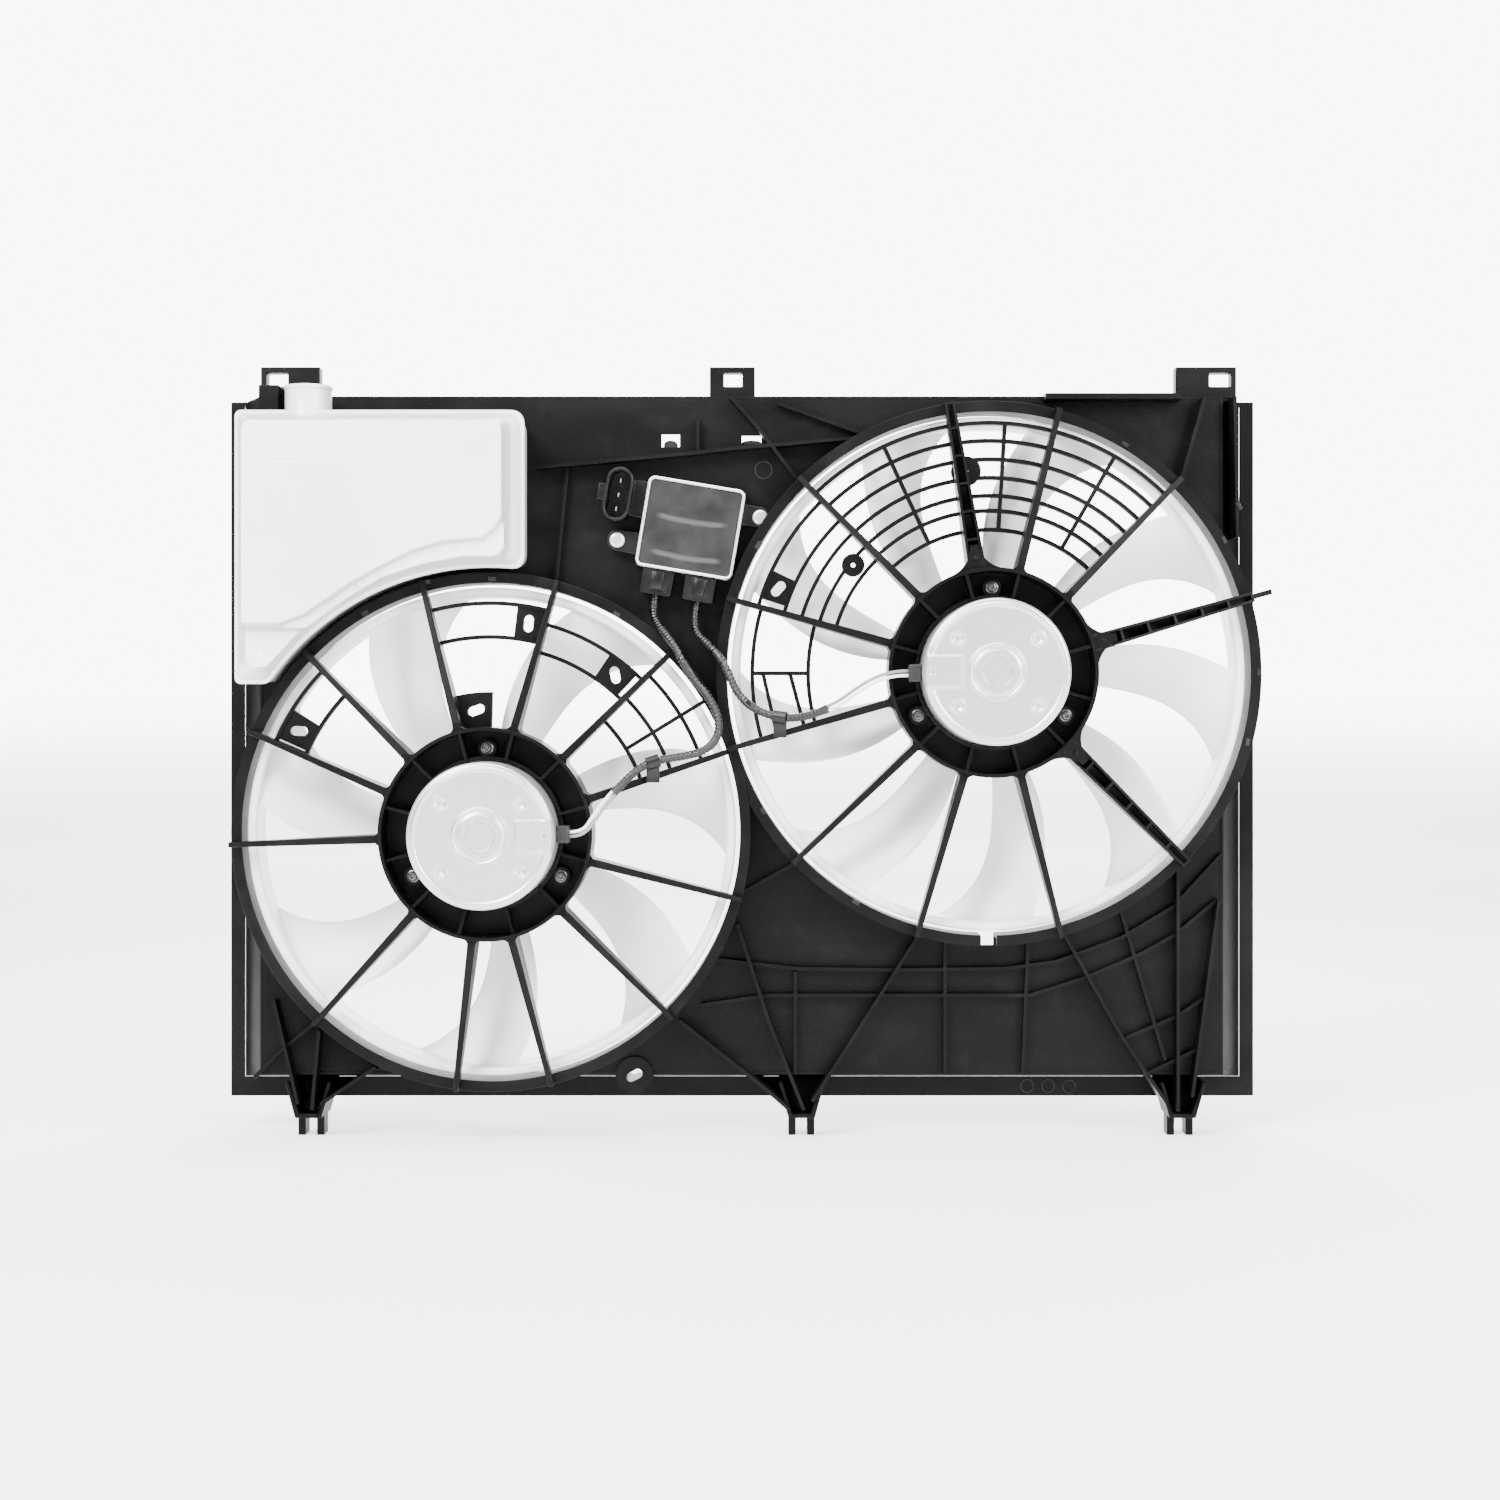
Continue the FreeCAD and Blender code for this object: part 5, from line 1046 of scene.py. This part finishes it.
@dataclass
class Hardware:
    """Motors' cans, screws, clips and the control module's plain pieces, with rounded edges."""

    edges: tuple[tuple[float, str, str], ...] = (
        (0.5, "motor_steel", "left_motor_can right_motor_can"),
        (1.2, "rubber_black", "left_lead_grommet right_lead_grommet"),
        (0.3, "black_plastic", "left_harness_clip right_harness_clip"),
        (0.6, "black_plastic", "left_motor_plug right_motor_plug"),
        (0.5, "black_plastic", "module_base"),
        (0.7, "module_aluminium", "module_tray"),
        (0.5, "potting_grey", "module_potting"),
        (0.4, "screw_steel", "module_screws"),
    )

    def build(self) -> None:
        """Round every edge, and put a domed head on each motor screw's flange."""
        for width, finish, nodes in self.edges:
            for node in nodes.split():
                Softened(node, finish, width).build()
        for side, (x, z) in ((Side.LEFT, LEFT_AXIS), (Side.RIGHT, RIGHT_AXIS)):
            skin = Skin()
            low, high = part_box(f"{side.value}_motor_screws")
            far, near = -low[1] / MM, -high[1] / MM
            profile = ((0.6, near + 0.1), (2.4, near + 0.4), (2.4, far - 4.0), (4.5, far - 3.9),
                       (4.6, far - 3.2), (4.2, far - 2.8), (3.3, far - 2.7), (3.2, far - 1.0),
                       (2.6, far - 0.2), (1.7, far), (1.5, far - 0.3), (1.2, far - 1.3), (0.3, far - 1.4))
            for a in np.radians(SCREW_ANGLES):
                lathe(skin, x + SCREW_CIRCLE * math.cos(a), z + SCREW_CIRCLE * math.sin(a), profile, 36)
            name = f"{side.value}_domed_screws"
            replaced = (f"{side.value}_motor_screws",)
            Piece(name, "screw_black", Body.SHROUD, replaced, 40.0, "screw_steel").cast(skin)


# Studio


@dataclass
class Studio:
    """Pale floor and backdrop, soft lights and the camera of the photograph."""

    eye: tuple[float, float, float] = (0.0187, -1.770, 0.0224)
    lens: float = 58.29
    shift: tuple[float, float] = (-0.012, -0.0213)
    lamps: tuple[tuple[str, tuple[float, float, float], float, float], ...] = (
        ("key", (-1.3, -1.9, 1.7), 1.2, 230.0), ("fill", (1.6, -1.7, 0.9), 1.2, 120.0),
        ("top", (0.1, -0.5, 1.7), 1.0, 45.0), ("rear", (0.4, 1.2, 1.5), 1.4, 60.0))

    def backdrop(self) -> None:
        """A round floor that curves up into a wall wide of every camera: a line, a quarter circle and a wall,
        turned about the upright axis, lit from within behind the object as a white studio sweep is."""
        reach, bend, tall = 4.6, 1.2, 4.4
        t = np.linspace(0.0, math.pi / 2, 14)
        r = np.concatenate([[0.05, 1.0, 2.2], reach - bend + bend * np.sin(t), [reach]])[:, None]
        z = np.concatenate([[0.0, 0.0, 0.0], bend - bend * np.cos(t), [tall]])[:, None] + FLOOR_Z
        a = around(64)[None, :]
        grid = np.stack(np.broadcast_arrays(r * np.cos(a), -r * np.sin(a), z), -1) / MM
        skin = Skin()
        ids = skin.grid(grid, wrap_v=True)
        skin.fan(ids[0], np.array([0.0, 0.0, FLOOR_Z / MM]))
        mesh = skin.mesh("backdrop")
        paint = Paint("backdrop_paper")
        tooth = paint.noise(300.0, 2.0)
        x, y, z = (paint.component(paint.place, axis) for axis in range(3))
        behind = y.step(-0.3, 0.6) * x.math("ABSOLUTE").step(1.9, 2.6, 1.0, 0.0)
        glow = behind * (z.step(-0.25, 0.1) * 0.87 + 0.07) + z.step(-0.25, 0.3, 0.1, 0.06)
        light = paint.mix(glow, 0.0, 1.0)
        paint.feed("Base Color", paint.mix(tooth * 0.06, 0.92, 0.86))
        paint.feed("Roughness", 0.85)
        paint.feed("Emission Color", light)
        paint.feed("Emission Strength", 9.0)
        lit = paint.node("ShaderNodeEmission", {}, {"Color": light, "Strength": 9.0})
        paint.cover(z.step(-0.26, 0.0), lit)
        paint.material.cycles.emission_sampling = "NONE"
        mesh.materials.append(paint.material)
        mesh.shade_smooth()
        floor = bpy.data.objects.new("backdrop", mesh)
        bpy.context.scene.collection.objects.link(floor)

    def lamp(self, name: str, place: Sequence[float], size: float, power: float) -> None:
        """One square area light aimed at the object's middle."""
        data = bpy.data.lights.new(name, "AREA")
        data.size = size
        data.energy = power
        lamp = bpy.data.objects.new(name, data)
        bpy.context.scene.collection.objects.link(lamp)
        lamp.location = place
        aim = np.array([0.0, -0.05, 0.0]) - np.array(place)
        flat = math.hypot(aim[0], aim[1])
        lamp.rotation_euler = (math.pi / 2 + math.atan2(aim[2], flat), 0.0, math.atan2(-aim[0], aim[1]))

    def build(self) -> None:
        """Set the camera, the world and the lights."""
        data = bpy.data.cameras.new("camera")
        data.sensor_width = 36.0
        data.lens = self.lens
        data.shift_x, data.shift_y = self.shift
        camera = bpy.data.objects.new("camera", data)
        camera.location = self.eye
        camera.rotation_euler = (math.pi / 2, 0.0, 0.0)
        bpy.context.scene.collection.objects.link(camera)
        bpy.context.scene.camera = camera
        world = bpy.data.worlds.new("studio")
        world.use_nodes = True
        world.node_tree.nodes["Background"].inputs[0].default_value = (1.0, 1.0, 1.0, 1.0)
        world.node_tree.nodes["Background"].inputs[1].default_value = 0.22
        bpy.context.scene.world = world
        self.backdrop()
        for name, place, size, power in self.lamps:
            self.lamp(name, place, size, power)


def dress_rest() -> None:
    """Give each CAD node that stays its finish."""
    for part in frame["record"]["subparts"]:
        node = frame["nodes"][part["node"]]
        slot = part["material_slot"]
        node.data.materials.clear()
        node.data.materials.append(FINISH(slot if slot in FINISH.kinds else "shroud_plastic"))


# Angles of the struts, in degrees
LEFT_STRUTS = (18.75, 44.75, 75.0, 105.2, 135.7, 157.2, 182.7, 227.5, 262.5, 283.7, 314.5, 345.0)
RIGHT_STRUTS = (16.2, 45.5, 75.2, 98.5, 134.2, 164.0, 196.2, 224.0, 254.5, 285.2, 316.0)

# Angles of a blade's two edges, in degrees, at each radius
LEFT_BLADE = (
    (66.0, 0.0, 22.5), (89.0, -1.0, 21.5), (115.5, -4.5, 17.5), (142.0, -9.0, 13.5), (168.0, -18.5, 7.0))
RIGHT_BLADE = (
    (66.0, 0.5, 18.0), (91.0, 0.0, 18.5), (120.0, -3.0, 15.5), (149.0, -6.5, 11.0), (177.0, -16.0, 6.0))

# Control points of each sleeve and its leads, in metres as (x, y, z)
LEFT_ROUTE = (
    (-0.0609, -0.0545, 0.1089), (-0.0622, -0.0545, 0.1010), (-0.0615, -0.060, 0.093),
    (-0.0575, -0.068, 0.0865), (-0.052, -0.0765, 0.080), (-0.0455, -0.085, 0.072),
    (-0.040, -0.0885, 0.061), (-0.0325, -0.088, 0.0495),
    (-0.022, -0.088, 0.037), (-0.015, -0.088, 0.022), (-0.016, -0.089, 0.008), (-0.026, -0.092, -0.001),
    (-0.040, -0.095, -0.004), (-0.054, -0.097, -0.006), (-0.067, -0.099, -0.010), (-0.078, -0.102, -0.019),
    (-0.087, -0.106, -0.029))
RIGHT_ROUTE = (
    (-0.0313, -0.0545, 0.1046), (-0.0336, -0.0545, 0.0908), (-0.031, -0.063, 0.081), (-0.023, -0.073, 0.074),
    (-0.014, -0.081, 0.064), (-0.008, -0.085, 0.052), (-0.003, -0.086, 0.040), (0.007, -0.088, 0.030),
    (0.020, -0.091, 0.024), (0.034, -0.094, 0.022), (0.048, -0.098, 0.024), (0.060, -0.103, 0.029))
LEFT_LEADS = (
    ((-0.0864, -0.1057, -0.0284), (-0.0012, 0.0, 0.0009)),
    ((-0.0924, -0.1084, -0.0351), (-0.0012, 0.0, 0.0009)),
    ((-0.100, -0.113, -0.046), (-0.0012, 0.0, 0.0009)), ((-0.1078, -0.113, -0.0568), (0.0, 0.0, 0.0015)),
    ((-0.1163, -0.113, -0.0568), (0.0, 0.0, 0.0015)))
RIGHT_LEADS = (
    ((0.0591, -0.1026, 0.0286), (0.0007, 0.0, -0.0013)), ((0.0673, -0.1061, 0.0321), (0.0007, 0.0, -0.0013)),
    ((0.079, -0.110, 0.041), (0.0007, 0.0, -0.0013)), ((0.092, -0.113, 0.049), (0.0007, 0.0, -0.0013)),
    ((0.1058, -0.113, 0.053), (0.0, 0.0, -0.0015)), ((0.1143, -0.113, 0.053), (0.0, 0.0, -0.0015)))


def main() -> None:
    """Build the classes in order."""
    logging.basicConfig(level=logging.INFO, format="%(message)s")
    Studio().build()
    dress_rest()
    Shroud().build()
    StrutRoots(Side.LEFT, *LEFT_AXIS, 73.5, LEFT_STRUTS).build()
    StrutRoots(Side.RIGHT, *RIGHT_AXIS, 72.2, RIGHT_STRUTS, (16.2, 98.5, 316.0)).build()
    ShroudMarks().build()
    Hardware().build()
    Wiring(Side.LEFT, LEFT_ROUTE, LEFT_LEADS).build()
    Wiring(Side.RIGHT, RIGHT_ROUTE, RIGHT_LEADS).build()
    RingFan(Side.LEFT, Body.LEFT_ROTOR, *LEFT_AXIS, 171.5, 7, 11.0, LEFT_BLADE).build()
    RingFan(Side.RIGHT, Body.RIGHT_ROTOR, *RIGHT_AXIS, 180.5, 9, -6.0, RIGHT_BLADE).build()
    MotorCap(Side.LEFT, *LEFT_AXIS, 0.0).build()
    MotorCap(Side.RIGHT, *RIGHT_AXIS, math.pi).build()
    Reservoir().build()


if __name__ == "__main__":
    main()
